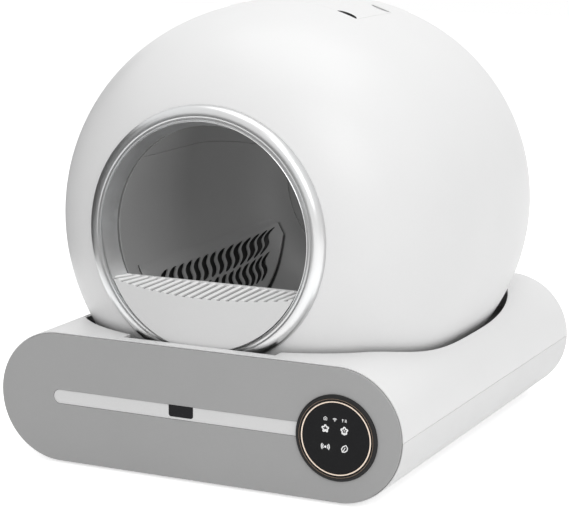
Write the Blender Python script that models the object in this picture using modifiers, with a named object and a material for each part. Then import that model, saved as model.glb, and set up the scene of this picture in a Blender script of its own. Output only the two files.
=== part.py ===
"""Self cleaning litter box: a turning drum inside a fixed white globe, on a round-sided base with a waste drawer.

The origin is on the floor, under the middle of the whole object. X runs to the right, Y to the back, Z up.
Sizes are in metres. A name that ends in DEPTH is a distance behind the front face of the drawer panel.
"""

import math

import bmesh
import bpy
from mathutils import Matrix, Vector

for item in list(bpy.data.objects):
    bpy.data.objects.remove(item, do_unlink=True)

# Clearances and cutting allowances
TOUCH_GAP = 0.0003
SEAM_GAP = 0.0004
RUNNING_GAP = 0.0025
OVERRUN = 0.010
MERGE_DISTANCE = 0.00001

# Whole base
BASE_WIDTH = 0.550
BASE_LENGTH = 0.600
BASE_TOP = 0.169
FOOT_HEIGHT = 0.003
SHELL_WALL = 0.003
PANEL_THICKNESS = 0.012
PANEL_INSET = 0.0012
SHELL_FRONT_DEPTH = 0.0025
DISPLAY_PROUD = 0.003
SIDE_SEGMENTS = 10

# Globe, as a body turned about a level axis
AXIS_HEIGHT = 0.2952
GLOBE_RADIUS = 0.2766
GLOBE_WALL = 0.003
BELLY_DEPTH = 0.3133
GLOBE_NOSE_DEPTH = 0.0173
GLOBE_TAIL_LENGTH = 0.0633
FRONT_FULLNESS_SHARE = 3.39
FRONT_ROUNDNESS_SHARE = 2.65
BACK_FULLNESS_SHARE = 2.65
BACK_ROUNDNESS_SHARE = 2.16
GLOBE_COVER_LENGTH = 0.064
GLOBE_SHOULDER_LENGTH = 0.009
GLOBE_BACK_MARGIN = 0.011
GLOBE_END_RADIUS = 0.180
GLOBE_CUT_HEIGHT = 0.120
GLOBE_STEPS = 48
GLOBE_RINGS = 11
BASE_OPENING_GAP = 0.008
BASE_OPENING_BACK_GAP = 0.003

# Entry ring and the step inside it
RING_RISE = 0.0056
RING_TILT = math.radians(0.75)
RING_RADIUS = 0.159
RING_LIP_DEPTH = 0.0265
RING_CORNER_DEPTH = 0.0235
RING_LIP_RADIUS = 0.1407
RING_LIP_WIDTH = 0.002
RING_COLLAR_RADIUS = 0.1525
RING_SHOULDER_DEPTH = 0.046
RING_BORE_RADIUS = 0.132
RING_SLEEVE_WALL = 0.0035
RING_END_DEPTH = 0.052
RING_SEGMENTS = 48
RING_BULGE_POINTS = 5
RING_SLOT_DEPTH = 0.0165
RING_SLOT_LENGTH = 0.0935
RING_SLOT_HALF_WIDTH = 0.104
STEP_TOP_DROP = 0.0593
STEP_BACK_DEPTH = 0.051
STEP_PLATE = 0.0045
STEP_WALL = 0.005
STEP_FRONT_DEPTH = 0.018
STEP_BULGE_RADIUS = 0.890
STEP_BULGE_POINTS = 12
STEP_GAP = 0.0008
STEP_HEIGHT = 0.095
STEP_HALF_WIDTH = 0.126
TREAD_DIP = 0.0130
TREAD_SIDE_DIP = 0.0027
TREAD_RIBS = 20
TREAD_RIB_PITCH = 0.0118
TREAD_RIB_WIDTH = 0.0066
TREAD_RIB_HEIGHT = 0.0022
TREAD_RIB_TOP_SHARE = 0.7

# Fill hatch on top of the globe
HATCH_FRONT_DEPTH = 0.242
HATCH_BACK_DEPTH = 0.352
HATCH_HALF_WIDTH = 0.106
HATCH_SLOT_WIDTH = 0.004
HATCH_SLOT_INNER = 0.081
HATCH_SLOT_OUTER = 0.1035
HATCH_SEAL_LAP = 0.007
HATCH_SEAL_THICKNESS = 0.0025

# Turning drum
DRUM_RADIUS = 0.225
DRUM_WALL = 0.0025
DRUM_MOUTH_DEPTH = 0.066
DRUM_MOUTH_RADIUS = 0.1375
DRUM_FACE_RADIUS = 0.150
DRUM_FRONT_CYLINDER_DEPTH = 0.150
DRUM_DOME_LENGTH = 0.135
DRUM_BACK_MARGIN = 0.054
DRUM_SEAM_ANGLE = math.radians(75)
DRUM_END_RADIUS = 0.132
DRUM_STEPS = 40
DRUM_DOME_POINTS = 5
PORT_HALF_WIDTH = 0.086
PORT_FRONT_DEPTH = 0.237
PORT_BACK_DEPTH = 0.357

# Drum back plate, gear train and axle
BACK_PLATE_RADIUS = 0.140
BACK_PLATE_THICKNESS = 0.003
HUB_RADIUS = 0.018
HUB_FRONT_LENGTH = 0.0065
HUB_BACK_LENGTH = 0.010
BUSH_RADIUS = 0.012
AXLE_RADIUS = 0.008
AXLE_INSET = 0.0015
AXLE_FLANGE_RADIUS = 0.020
AXLE_FLANGE_THICKNESS = 0.003
BEARING_GAP = 0.0003
GEAR_MODULE = 0.004
DRUM_GEAR_TEETH = 52
PINION_TEETH = 13
GEAR_WIDTH = 0.010
GEAR_BORE_RADIUS = 0.085
GEAR_BACKLASH = 0.0008
GEAR_ADDENDUM_SHARE = 0.8
GEAR_DEDENDUM_SHARE = 1.15
PRESSURE_ANGLE = math.radians(20)
FLANK_POINTS = 3
MOTOR_RADIUS = 0.018
MOTOR_SHAFT_RADIUS = 0.003
MOTOR_LENGTH = 0.0342
MOTOR_NOSE_RADIUS = 0.008
MOTOR_NOSE_LENGTH = 0.0015
SMALL_STEPS = 18

# Sieve screen inside the drum
SIEVE_INSET = 0.011
SIEVE_THICKNESS = 0.0025
SIEVE_FRONT_DEPTH = 0.225
SIEVE_TOP_ANGLE = math.radians(112)
SIEVE_SPAN_ANGLE = math.radians(60)
SIEVE_FLANGE = 0.003
SLOT_COLUMNS = 15
SLOT_MARGIN = 0.018
SLOT_WIDTH = 0.008
SLOT_WAVE = 0.0035
SLOT_STATIONS = 5
UPPER_SLOT_ANGLES = (math.radians(117), math.radians(138))
LOWER_SLOT_ANGLES = (math.radians(142), math.radians(166))
SLOT_WAVES_SHARE = 1.25

# Cradle frame and rollers
CRADLE_PLATE = 0.0075
CRADLE_SIDE_MARGIN = 0.019
CRADLE_FRONT_DEPTH = 0.030
CRADLE_BACK_MARGIN = 0.008
CRADLE_DRUM_GAP = 0.005
CRADLE_RAIL_LENGTH = 0.030
CRADLE_BACK_RAIL_LENGTH = 0.032
LEG_SIZE = 0.016
LEG_INSET = 0.012
ROLLER_RADIUS = 0.012
ROLLER_WIDTH = 0.016
ROLLER_ANGLE = math.radians(35)
ROLLER_FRONT_INSET = 0.028
ROLLER_BACK_INSET = 0.016
ROLLER_SHAFT_RADIUS = 0.004
ROLLER_SHAFT_END_LENGTH = 0.034
ROLLER_CHAMFER = 0.0015
LUG_OFFSET = 0.022
LUG_THICKNESS = 0.008
LUG_MARGIN = 0.008

# Waste drawer
BIN_INSET = 0.042
BIN_BACK_DEPTH = 0.400
BIN_FLOOR_HEIGHT = 0.012
BIN_TOP_HEIGHT = 0.058
BIN_WALL = 0.0025
BAG_FRAME_THICKNESS = 0.003
BAG_FRAME_WIDTH = 0.010
RAIL_THICKNESS = 0.003
RAIL_HEIGHT = 0.024
RAIL_SEAT = 0.012
RAIL_FRONT_DEPTH = 0.020
DRAWER_TRAVEL = 0.260

# Front panel details
STRIP_LOW_HEIGHT = 0.078
STRIP_HIGH_HEIGHT = 0.0962
STRIP_END_MARGIN = 0.0772
STRIP_RECESS = 0.003
STRIP_THICKNESS = 0.0015
STRIP_END_POINTS = 8
SENSOR_CENTRE = -0.0165
SENSOR_WIDTH = 0.033
SENSOR_LOW_HEIGHT = 0.0815
SENSOR_THICKNESS = 0.002
SENSOR_CORNER_RADIUS = 0.003
SENSOR_CORNER_POINTS = 3
DISPLAY_SIDE_MARGIN = 0.0833
DISPLAY_HEIGHT = 0.083
DISPLAY_FLANGE_RADIUS = 0.0525
DISPLAY_BARREL_RADIUS = 0.0495
DISPLAY_BARREL_DEPTH = 0.011
DISPLAY_WALL = 0.0035
ACCENT_RADIUS = 0.0450
ACCENT_WIDTH = 0.0018
GLASS_THICKNESS = 0.0025
GLASS_SINK = 0.0006
BOARD_DEPTH = 0.006
BOARD_THICKNESS = 0.0016
BEZEL_LEDGE = 0.0040
BEZEL_LEDGE_BACK_DEPTH = 0.0035

# Back panel, inlet, feet and screws
REAR_PANEL_THICKNESS = 0.003
REAR_PANEL_SINK = 0.0025
JACK_INSET = 0.002
JACK_HEIGHT = 0.050
JACK_RADIUS = 0.006
JACK_BORE_RADIUS = 0.003
JACK_FLANGE_RADIUS = 0.0085
JACK_FLANGE_THICKNESS = 0.0015
JACK_LENGTH = 0.014
JACK_PIN_RADIUS = 0.001
JACK_FLOOR = 0.002
FOOT_RADIUS = 0.013
FOOT_INSET = 0.027
FOOT_FRONT_DEPTH = 0.045
FOOT_BACK_MARGIN = 0.050
FOOT_CHAMFER = 0.0008
SCREW_RADIUS = 0.0019
SCREW_HEAD_RADIUS = 0.0045
SCREW_HEAD_HEIGHT = 0.0018
SCREW_REACH = 0.012
SCREW_HOLE_RADIUS = 0.0023

# Places that follow from the sizes above
BACK_Y = (BASE_LENGTH + DISPLAY_PROUD) / 2
FRONT_Y = BACK_Y - BASE_LENGTH
SIDE_RADIUS = (BASE_TOP - FOOT_HEIGHT) / 2
SEAM_HEIGHT = FOOT_HEIGHT + SIDE_RADIUS
SIDE_CENTRE = BASE_WIDTH / 2 - SIDE_RADIUS
FLOOR_HEIGHT = FOOT_HEIGHT + SHELL_WALL
PANEL_SEAT_DEPTH = PANEL_THICKNESS + SEAM_GAP
GLOBE_END_DEPTH = BASE_LENGTH - GLOBE_BACK_MARGIN
GLOBE_SHOULDER_DEPTH = GLOBE_END_DEPTH - GLOBE_SHOULDER_LENGTH
GLOBE_PARTING_DEPTH = GLOBE_END_DEPTH - GLOBE_COVER_LENGTH
GLOBE_FRONT_REACH = BELLY_DEPTH - GLOBE_NOSE_DEPTH
GLOBE_BACK_REACH = GLOBE_END_DEPTH + GLOBE_TAIL_LENGTH - BELLY_DEPTH
GLOBE_INNER_END_DEPTH = GLOBE_END_DEPTH - GLOBE_WALL
RING_HEIGHT = AXIS_HEIGHT + RING_RISE
HOOD_BORE_RADIUS = RING_COLLAR_RADIUS + SEAM_GAP
HOOD_START_RADIUS = HOOD_BORE_RADIUS - 2 * RING_RISE
STEP_TOP_HEIGHT = RING_HEIGHT - STEP_TOP_DROP
STEP_LOW_HEIGHT = STEP_TOP_HEIGHT - STEP_HEIGHT
DRUM_END_DEPTH = GLOBE_END_DEPTH - DRUM_BACK_MARGIN
DRUM_BACK_CYLINDER_DEPTH = DRUM_END_DEPTH - DRUM_DOME_LENGTH
BACK_PLATE_DEPTH = DRUM_END_DEPTH + TOUCH_GAP
HUB_FRONT_DEPTH = DRUM_END_DEPTH - HUB_FRONT_LENGTH
HUB_BACK_DEPTH = DRUM_END_DEPTH + HUB_BACK_LENGTH
AXLE_FRONT_DEPTH = HUB_FRONT_DEPTH + AXLE_INSET
GEAR_DEPTH = BACK_PLATE_DEPTH + BACK_PLATE_THICKNESS + TOUCH_GAP
GEAR_SPACING = GEAR_MODULE * (DRUM_GEAR_TEETH + PINION_TEETH) / 2
MOTOR_BACK_DEPTH = GLOBE_INNER_END_DEPTH - TOUCH_GAP
MOTOR_FRONT_DEPTH = MOTOR_BACK_DEPTH - MOTOR_LENGTH
CRADLE_TOP = GLOBE_CUT_HEIGHT - TOUCH_GAP
CRADLE_HALF_WIDTH = BASE_WIDTH / 2 - CRADLE_SIDE_MARGIN
CRADLE_BACK_DEPTH = BASE_LENGTH - CRADLE_BACK_MARGIN
CRADLE_OPENING_FRONT_DEPTH = CRADLE_FRONT_DEPTH + CRADLE_RAIL_LENGTH
CRADLE_OPENING_BACK_DEPTH = CRADLE_BACK_DEPTH - CRADLE_BACK_RAIL_LENGTH
LEG_OFFSET = SIDE_CENTRE - LEG_INSET
SCREWED_LEG_DEPTHS = {"front": CRADLE_OPENING_FRONT_DEPTH, "back": CRADLE_OPENING_BACK_DEPTH}
LEG_DEPTHS = (CRADLE_OPENING_FRONT_DEPTH, BASE_LENGTH / 2, CRADLE_OPENING_BACK_DEPTH)
ROLLER_REACH = DRUM_RADIUS + ROLLER_RADIUS + TOUCH_GAP
ROLLER_X = ROLLER_REACH * math.sin(ROLLER_ANGLE)
ROLLER_Z = AXIS_HEIGHT - ROLLER_REACH * math.cos(ROLLER_ANGLE)
ROLLER_FRONT_DEPTH = DRUM_FRONT_CYLINDER_DEPTH + ROLLER_FRONT_INSET
ROLLER_BACK_DEPTH = DRUM_BACK_CYLINDER_DEPTH - ROLLER_BACK_INSET
ROLLER_DEPTHS = (ROLLER_FRONT_DEPTH, ROLLER_BACK_DEPTH)
ROLLER_SHAFT_FRONT_DEPTH = ROLLER_FRONT_DEPTH - ROLLER_SHAFT_END_LENGTH
ROLLER_SHAFT_BACK_DEPTH = ROLLER_BACK_DEPTH + ROLLER_SHAFT_END_LENGTH
LUG_DEPTHS = (ROLLER_FRONT_DEPTH - LUG_OFFSET, ROLLER_BACK_DEPTH + LUG_OFFSET)
BIN_HALF_WIDTH = SIDE_CENTRE - BIN_INSET
STRIP_LEFT = STRIP_END_MARGIN - BASE_WIDTH / 2
DISPLAY_CENTRE = BASE_WIDTH / 2 - DISPLAY_SIDE_MARGIN
JACK_OFFSET = JACK_INSET - SIDE_CENTRE
FOOT_OFFSET = SIDE_CENTRE - FOOT_INSET
FOOT_BACK_DEPTH = BASE_LENGTH - FOOT_BACK_MARGIN

FACING_FRONT = (math.pi / 2, 0, 0)
UPRIGHT = (0, 0, 0)

parts = bpy.data.collections.new("self_cleaning_litter_box")
cutters = bpy.data.collections.new("cutters")
for group in (parts, cutters):
    bpy.context.scene.collection.children.link(group)


def material(name, colour, roughness, metallic=0.0):
    """Principled material of one plain colour."""
    made = bpy.data.materials.new(name)
    made.use_nodes = True
    shader = made.node_tree.nodes["Principled BSDF"]
    shader.inputs["Base Color"].default_value = (*colour, 1)
    shader.inputs["Roughness"].default_value = roughness
    shader.inputs["Metallic"].default_value = metallic
    return made


def place(name, mesh, finish, location, rotation=UPRIGHT):
    """Adds a mesh as one sub-part, or as a cutter where it has no finish."""
    made = bpy.data.objects.new(name, mesh)
    made.location = location
    made.rotation_euler = rotation
    if finish is None:
        cutters.objects.link(made)
        made.hide_render = True
        made.display_type = "WIRE"
    else:
        parts.objects.link(made)
        mesh.materials.append(finish)
    return made


def boolean(piece, other, operation="DIFFERENCE"):
    """Cuts, joins or trims a piece with another object."""
    step = piece.modifiers.new(operation.lower(), "BOOLEAN")
    step.operation = operation
    step.solver = "EXACT"
    step.object = other


def at_depth(depth, x=0.0, z=0.0):
    """The point at a distance behind the front face."""
    return Vector((x, FRONT_Y + depth, z))


def block(name, low, high, finish=None):
    """A box between two corners, with its origin at its middle."""
    low, high = Vector(low), Vector(high)
    mesh = bpy.data.meshes.new(name)
    shape = bmesh.new()
    bmesh.ops.create_cube(shape, size=1, matrix=Matrix.Diagonal((*(high - low), 1)))
    shape.to_mesh(mesh)
    shape.free()
    return place(name, mesh, finish, (low + high) / 2)


def depth_block(name, x_range, depth_range, z_range, finish=None):
    """A box given by its reach in X, in depth and in Z."""
    low = at_depth(depth_range[0], x_range[0], z_range[0])
    high = at_depth(depth_range[1], x_range[1], z_range[1])
    return block(name, low, high, finish)


def rod(name, radius, low_depth, high_depth, x, z, finish=None, steps=SMALL_STEPS):
    """A cylinder along Y."""
    mesh = bpy.data.meshes.new(name)
    shape = bmesh.new()
    bmesh.ops.create_cone(
        shape, cap_ends=True, segments=steps, radius1=radius, radius2=radius, depth=high_depth - low_depth
    )
    shape.to_mesh(mesh)
    shape.free()
    middle = at_depth((low_depth + high_depth) / 2, x, z)
    return place(name, mesh, finish, middle, FACING_FRONT)


def turned(name, profile, finish, location, rotation=FACING_FRONT, steps=SMALL_STEPS, closed=True):
    """A profile of (radius, height) points turned about the local Z axis, outer side from top to bottom."""
    count = len(profile)
    edges = [(i, i + 1) for i in range(count - 1)]
    if closed:
        edges.append((count - 1, 0))
    mesh = bpy.data.meshes.new(name)
    mesh.from_pydata([(radius, 0, height) for radius, height in profile], edges, [])
    made = place(name, mesh, finish, location, rotation)
    turn = made.modifiers.new("turn", "SCREW")
    turn.angle = math.tau
    turn.steps = steps
    turn.render_steps = steps
    turn.use_merge_vertices = True
    turn.merge_threshold = MERGE_DISTANCE
    turn.use_smooth_shade = True
    return made


def turned_at(name, profile, finish, x=0.0, z=AXIS_HEIGHT, steps=SMALL_STEPS, closed=True):
    """A turned piece on a level axis, its profile given as (radius, depth) from front to back."""
    local = [(radius, -depth) for radius, depth in profile]
    return turned(name, local, finish, at_depth(0, x, z), FACING_FRONT, steps, closed)


def plate(name, outlines, thickness, finish, location, rotation=FACING_FRONT):
    """A flat piece: an outline and its holes, extruded to a thickness, with its caps welded."""
    drawing = bpy.data.curves.new(name, "CURVE")
    drawing.dimensions = "2D"
    drawing.fill_mode = "BOTH"
    drawing.extrude = thickness / 2
    for outline in outlines:
        line = drawing.splines.new("POLY")
        line.points.add(len(outline) - 1)
        for point, (across, up) in zip(line.points, outline):
            point.co = (across, up, 0, 1)
        line.use_cyclic_u = True
    curve = bpy.data.objects.new(name + "_outline", drawing)
    parts.objects.link(curve)
    bpy.context.view_layer.update()
    mesh = bpy.data.meshes.new_from_object(curve.evaluated_get(bpy.context.evaluated_depsgraph_get()))
    shape = bmesh.new()
    shape.from_mesh(mesh)
    bmesh.ops.remove_doubles(shape, verts=shape.verts, dist=MERGE_DISTANCE)
    shape.to_mesh(mesh)
    shape.free()
    mesh.materials.clear()
    bpy.data.objects.remove(curve, do_unlink=True)
    return place(name, mesh, finish, location, rotation)


def arc(centre, radius, start, end, segments):
    """Points on an arc in the plane, both ends included."""
    turns = [start + (end - start) * i / segments for i in range(segments + 1)]
    return [(centre[0] + radius * math.cos(a), centre[1] + radius * math.sin(a)) for a in turns]


def circle(centre, radius, segments):
    """Points once round a circle."""
    return arc(centre, radius, 0, math.tau, segments)[:-1]


def round_ended(inset):
    """The base's cross-section outline, drawn in by an inset."""
    radius = SIDE_RADIUS - inset
    right = arc((SIDE_CENTRE, SEAM_HEIGHT), radius, -math.pi / 2, math.pi / 2, 2 * SIDE_SEGMENTS)
    left = arc((-SIDE_CENTRE, SEAM_HEIGHT), radius, math.pi / 2, 3 * math.pi / 2, 2 * SIDE_SEGMENTS)
    return right + left


def half_channel(side):
    """Cross-section of one base shell: side is 1 for the upper one and -1 for the lower one."""
    quarter = side * math.pi / 2
    seam = SEAM_HEIGHT + side * SEAM_GAP / 2
    outside = arc((SIDE_CENTRE, SEAM_HEIGHT), SIDE_RADIUS, 0, quarter, SIDE_SEGMENTS)
    outside += arc((-SIDE_CENTRE, SEAM_HEIGHT), SIDE_RADIUS, quarter, 2 * quarter, SIDE_SEGMENTS)
    inner_radius = SIDE_RADIUS - SHELL_WALL
    inside = arc((-SIDE_CENTRE, SEAM_HEIGHT), inner_radius, 2 * quarter, quarter, SIDE_SEGMENTS)
    inside += arc((SIDE_CENTRE, SEAM_HEIGHT), inner_radius, quarter, 0, SIDE_SEGMENTS)
    return [(x, max(z, seam) if side > 0 else min(z, seam)) for x, z in outside + inside]


def globe_radius(depth):
    """Radius of the globe's outer face at a depth."""
    if depth < BELLY_DEPTH:
        share = (BELLY_DEPTH - depth) / GLOBE_FRONT_REACH
        fullness, roundness = FRONT_FULLNESS_SHARE, FRONT_ROUNDNESS_SHARE
    else:
        share = (depth - BELLY_DEPTH) / GLOBE_BACK_REACH
        fullness, roundness = BACK_FULLNESS_SHARE, BACK_ROUNDNESS_SHARE
    return GLOBE_RADIUS * max(0, 1 - share**fullness) ** (1 / roundness)


def offset_line(points, distance):
    """A profile line moved square to itself, inwards for a positive distance."""
    moved = []
    for i, (radius, depth) in enumerate(points):
        before, after = points[max(i - 1, 0)], points[min(i + 1, len(points) - 1)]
        along = Vector((after[0] - before[0], after[1] - before[1])).normalized()
        moved.append((radius - along.y * distance, depth + along.x * distance))
    return moved


def spread(start, end, count):
    """Evenly spaced values, both ends included."""
    return [start + (end - start) * i / (count - 1) for i in range(count)]


def globe_line(start, end, count):
    """Points along the globe's outer face, closer together near its front."""
    first = math.acos(min(1, max(-1, (BELLY_DEPTH - start) / GLOBE_FRONT_REACH)))
    last = math.pi - math.acos(min(1, (end - BELLY_DEPTH) / GLOBE_BACK_REACH))
    depths = []
    for turn in spread(first, last, count):
        reach = GLOBE_FRONT_REACH if turn < math.pi / 2 else GLOBE_BACK_REACH
        depths.append(BELLY_DEPTH - reach * math.cos(turn))
    return [(globe_radius(depth), depth) for depth in depths]


def shell_profile(outer, wall):
    """A closed wall profile from its outer line."""
    return outer + offset_line(outer, wall)[::-1]


def front_edge_depth(radius):
    """Depth at which the globe's front has grown to a radius."""
    share = (1 - (radius / GLOBE_RADIUS) ** FRONT_ROUNDNESS_SHARE) ** (1 / FRONT_FULLNESS_SHARE)
    return BELLY_DEPTH - GLOBE_FRONT_REACH * share


def drum_line():
    """Outer line of the drum from its mouth to its back."""
    front_drop = DRUM_RADIUS - DRUM_FACE_RADIUS
    front_length = DRUM_FRONT_CYLINDER_DEPTH - DRUM_MOUTH_DEPTH
    line = [(DRUM_MOUTH_RADIUS, DRUM_MOUTH_DEPTH)]
    for turn in spread(0, math.pi / 2, DRUM_DOME_POINTS):
        radius = DRUM_FACE_RADIUS + front_drop * math.sin(turn)
        line.append((radius, DRUM_FRONT_CYLINDER_DEPTH - front_length * math.cos(turn)))
    return line + back_dome_line(DRUM_RADIUS, DRUM_END_DEPTH, DRUM_DOME_POINTS)


def back_dome_line(radius, end_depth, count):
    """The rounded back of the drum, or of a face drawn in from it."""
    drop = DRUM_RADIUS - DRUM_END_RADIUS
    length = end_depth - DRUM_BACK_CYLINDER_DEPTH
    line = []
    for turn in spread(0, math.pi / 2, count):
        line.append((radius - drop * (1 - math.cos(turn)), DRUM_BACK_CYLINDER_DEPTH + length * math.sin(turn)))
    return line


def involute(angle):
    return math.tan(angle) - angle


def gear_outline(teeth, first_tooth):
    """Involute gear outline, with one tooth centred on the given direction."""
    pitch_radius = GEAR_MODULE * teeth / 2
    base_radius = pitch_radius * math.cos(PRESSURE_ANGLE)
    root = pitch_radius - GEAR_DEDENDUM_SHARE * GEAR_MODULE
    tip = pitch_radius + GEAR_ADDENDUM_SHARE * GEAR_MODULE
    half_tooth = math.pi / (2 * teeth) - GEAR_BACKLASH / (4 * pitch_radius) + involute(PRESSURE_ANGLE)
    flank = []
    for radius in spread(max(base_radius, root), tip, FLANK_POINTS):
        lean = math.acos(min(1, base_radius / radius))
        flank.append((radius, half_tooth - involute(lean)))
    if base_radius > root:
        flank.insert(0, (root, half_tooth))
    outline = []
    for tooth in range(teeth):
        centre = first_tooth + math.tau * tooth / teeth
        rising = [(radius, centre - half) for radius, half in flank]
        falling = [(radius, centre + half) for radius, half in reversed(flank)]
        outline += [(radius * math.cos(a), radius * math.sin(a)) for radius, a in rising + falling]
    return outline


def make_base_shells():
    """Two extruded shells that meet at a seam half way up; the upper one is open round the globe."""
    length = BASE_LENGTH - SHELL_FRONT_DEPTH
    middle = at_depth(SHELL_FRONT_DEPTH + length / 2)
    lower = plate("base_lower_shell", [half_channel(-1)], length, WHITE_LOW, middle)
    for side in (-1, 1):
        for depth in SCREWED_LEG_DEPTHS.values():
            spot = at_depth(depth, side * LEG_OFFSET, FOOT_HEIGHT)
            hole = upright_cutter("screw_hole_cutter", SCREW_HOLE_RADIUS, SHELL_WALL, spot)
            boolean(lower, hole)
    rebate = plate("panel_rebate_cutter", [round_ended(PANEL_INSET)], 2 * PANEL_SEAT_DEPTH, None, at_depth(0))
    boolean(lower, rebate)
    upper = plate("base_upper_shell", [half_channel(1)], length, WHITE_TOP, middle)
    boolean(upper, rebate)
    outer = globe_line(front_edge_depth(RING_RADIUS), GLOBE_SHOULDER_DEPTH, GLOBE_RINGS)
    opening = offset_line(outer, -BASE_OPENING_GAP)
    opening.append((GLOBE_END_RADIUS, GLOBE_END_DEPTH + BASE_OPENING_BACK_GAP))
    opening = [(0, opening[0][1])] + opening + [(0, opening[-1][1])]
    boolean(upper, turned_at("globe_opening_cutter", opening, None, steps=GLOBE_STEPS, closed=False))
    slot = depth_block(
        "ring_slot_cutter",
        (-RING_SLOT_HALF_WIDTH, RING_SLOT_HALF_WIDTH),
        (RING_SLOT_DEPTH, RING_SLOT_DEPTH + RING_SLOT_LENGTH),
        (BASE_TOP - SHELL_WALL - OVERRUN, BASE_TOP + OVERRUN),
    )
    boolean(upper, slot)


def upright_cutter(name, radius, height, foot, steps=SMALL_STEPS):
    """A cylinder along Z that runs past both ends of what it cuts."""
    mesh = bpy.data.meshes.new(name)
    shape = bmesh.new()
    bmesh.ops.create_cone(
        shape, cap_ends=True, segments=steps, radius1=radius, radius2=radius, depth=height + 2 * OVERRUN
    )
    shape.to_mesh(mesh)
    shape.free()
    return place(name, mesh, None, Vector(foot) + Vector((0, 0, height / 2)))


def make_rear_panel():
    """Back wall between the shells, with the low-voltage inlet in it."""
    outline = round_ended(SHELL_WALL + TOUCH_GAP)
    back = BASE_LENGTH - REAR_PANEL_SINK
    hole = circle((JACK_OFFSET, JACK_HEIGHT), JACK_RADIUS + TOUCH_GAP, SMALL_STEPS)
    middle = at_depth(back - REAR_PANEL_THICKNESS / 2)
    plate("rear_panel", [outline, hole], REAR_PANEL_THICKNESS, WHITE_LOW, middle)
    flange_front = back + TOUCH_GAP
    flange_back = flange_front + JACK_FLANGE_THICKNESS
    jack = [
        (JACK_RADIUS, flange_back - JACK_LENGTH),
        (JACK_RADIUS, flange_front),
        (JACK_FLANGE_RADIUS, flange_front),
        (JACK_FLANGE_RADIUS, flange_back),
        (JACK_BORE_RADIUS, flange_back),
        (JACK_BORE_RADIUS, flange_back - JACK_LENGTH + JACK_FLOOR),
        (JACK_PIN_RADIUS, flange_back - JACK_LENGTH + JACK_FLOOR),
        (JACK_PIN_RADIUS, flange_back - JACK_FLANGE_THICKNESS),
        (0, flange_back - JACK_FLANGE_THICKNESS),
    ]
    front_centre = [(0, flange_back - JACK_LENGTH)]
    turned_at("power_jack", front_centre + jack, BLACK, JACK_OFFSET, JACK_HEIGHT, closed=False)


def make_feet():
    """Four rubber pads under the base."""
    profile = [
        (0, FOOT_HEIGHT - TOUCH_GAP),
        (FOOT_RADIUS, FOOT_HEIGHT - TOUCH_GAP),
        (FOOT_RADIUS, FOOT_CHAMFER),
        (FOOT_RADIUS - FOOT_CHAMFER, 0),
        (0, 0),
    ]
    spots = {"front": FOOT_FRONT_DEPTH, "back": FOOT_BACK_DEPTH}
    for where, depth in spots.items():
        for side, across in (("left", -FOOT_OFFSET), ("right", FOOT_OFFSET)):
            turned(f"foot_{where}_{side}", profile, RUBBER, at_depth(depth, across), UPRIGHT, closed=False)


def make_screws():
    """Screws that go up through the lower shell into the cradle's corner legs."""
    top = FLOOR_HEIGHT + SCREW_REACH
    under = FOOT_HEIGHT - TOUCH_GAP
    profile = [
        (0, top),
        (SCREW_RADIUS, top),
        (SCREW_RADIUS, under),
        (SCREW_HEAD_RADIUS, under),
        (SCREW_HEAD_RADIUS, under - SCREW_HEAD_HEIGHT),
        (0, under - SCREW_HEAD_HEIGHT),
    ]
    for where, depth in SCREWED_LEG_DEPTHS.items():
        for side, across in (("left", -LEG_OFFSET), ("right", LEG_OFFSET)):
            spot = at_depth(depth, across)
            turned(f"base_screw_{where}_{side}", profile, STEEL, spot, UPRIGHT, closed=False)


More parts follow.
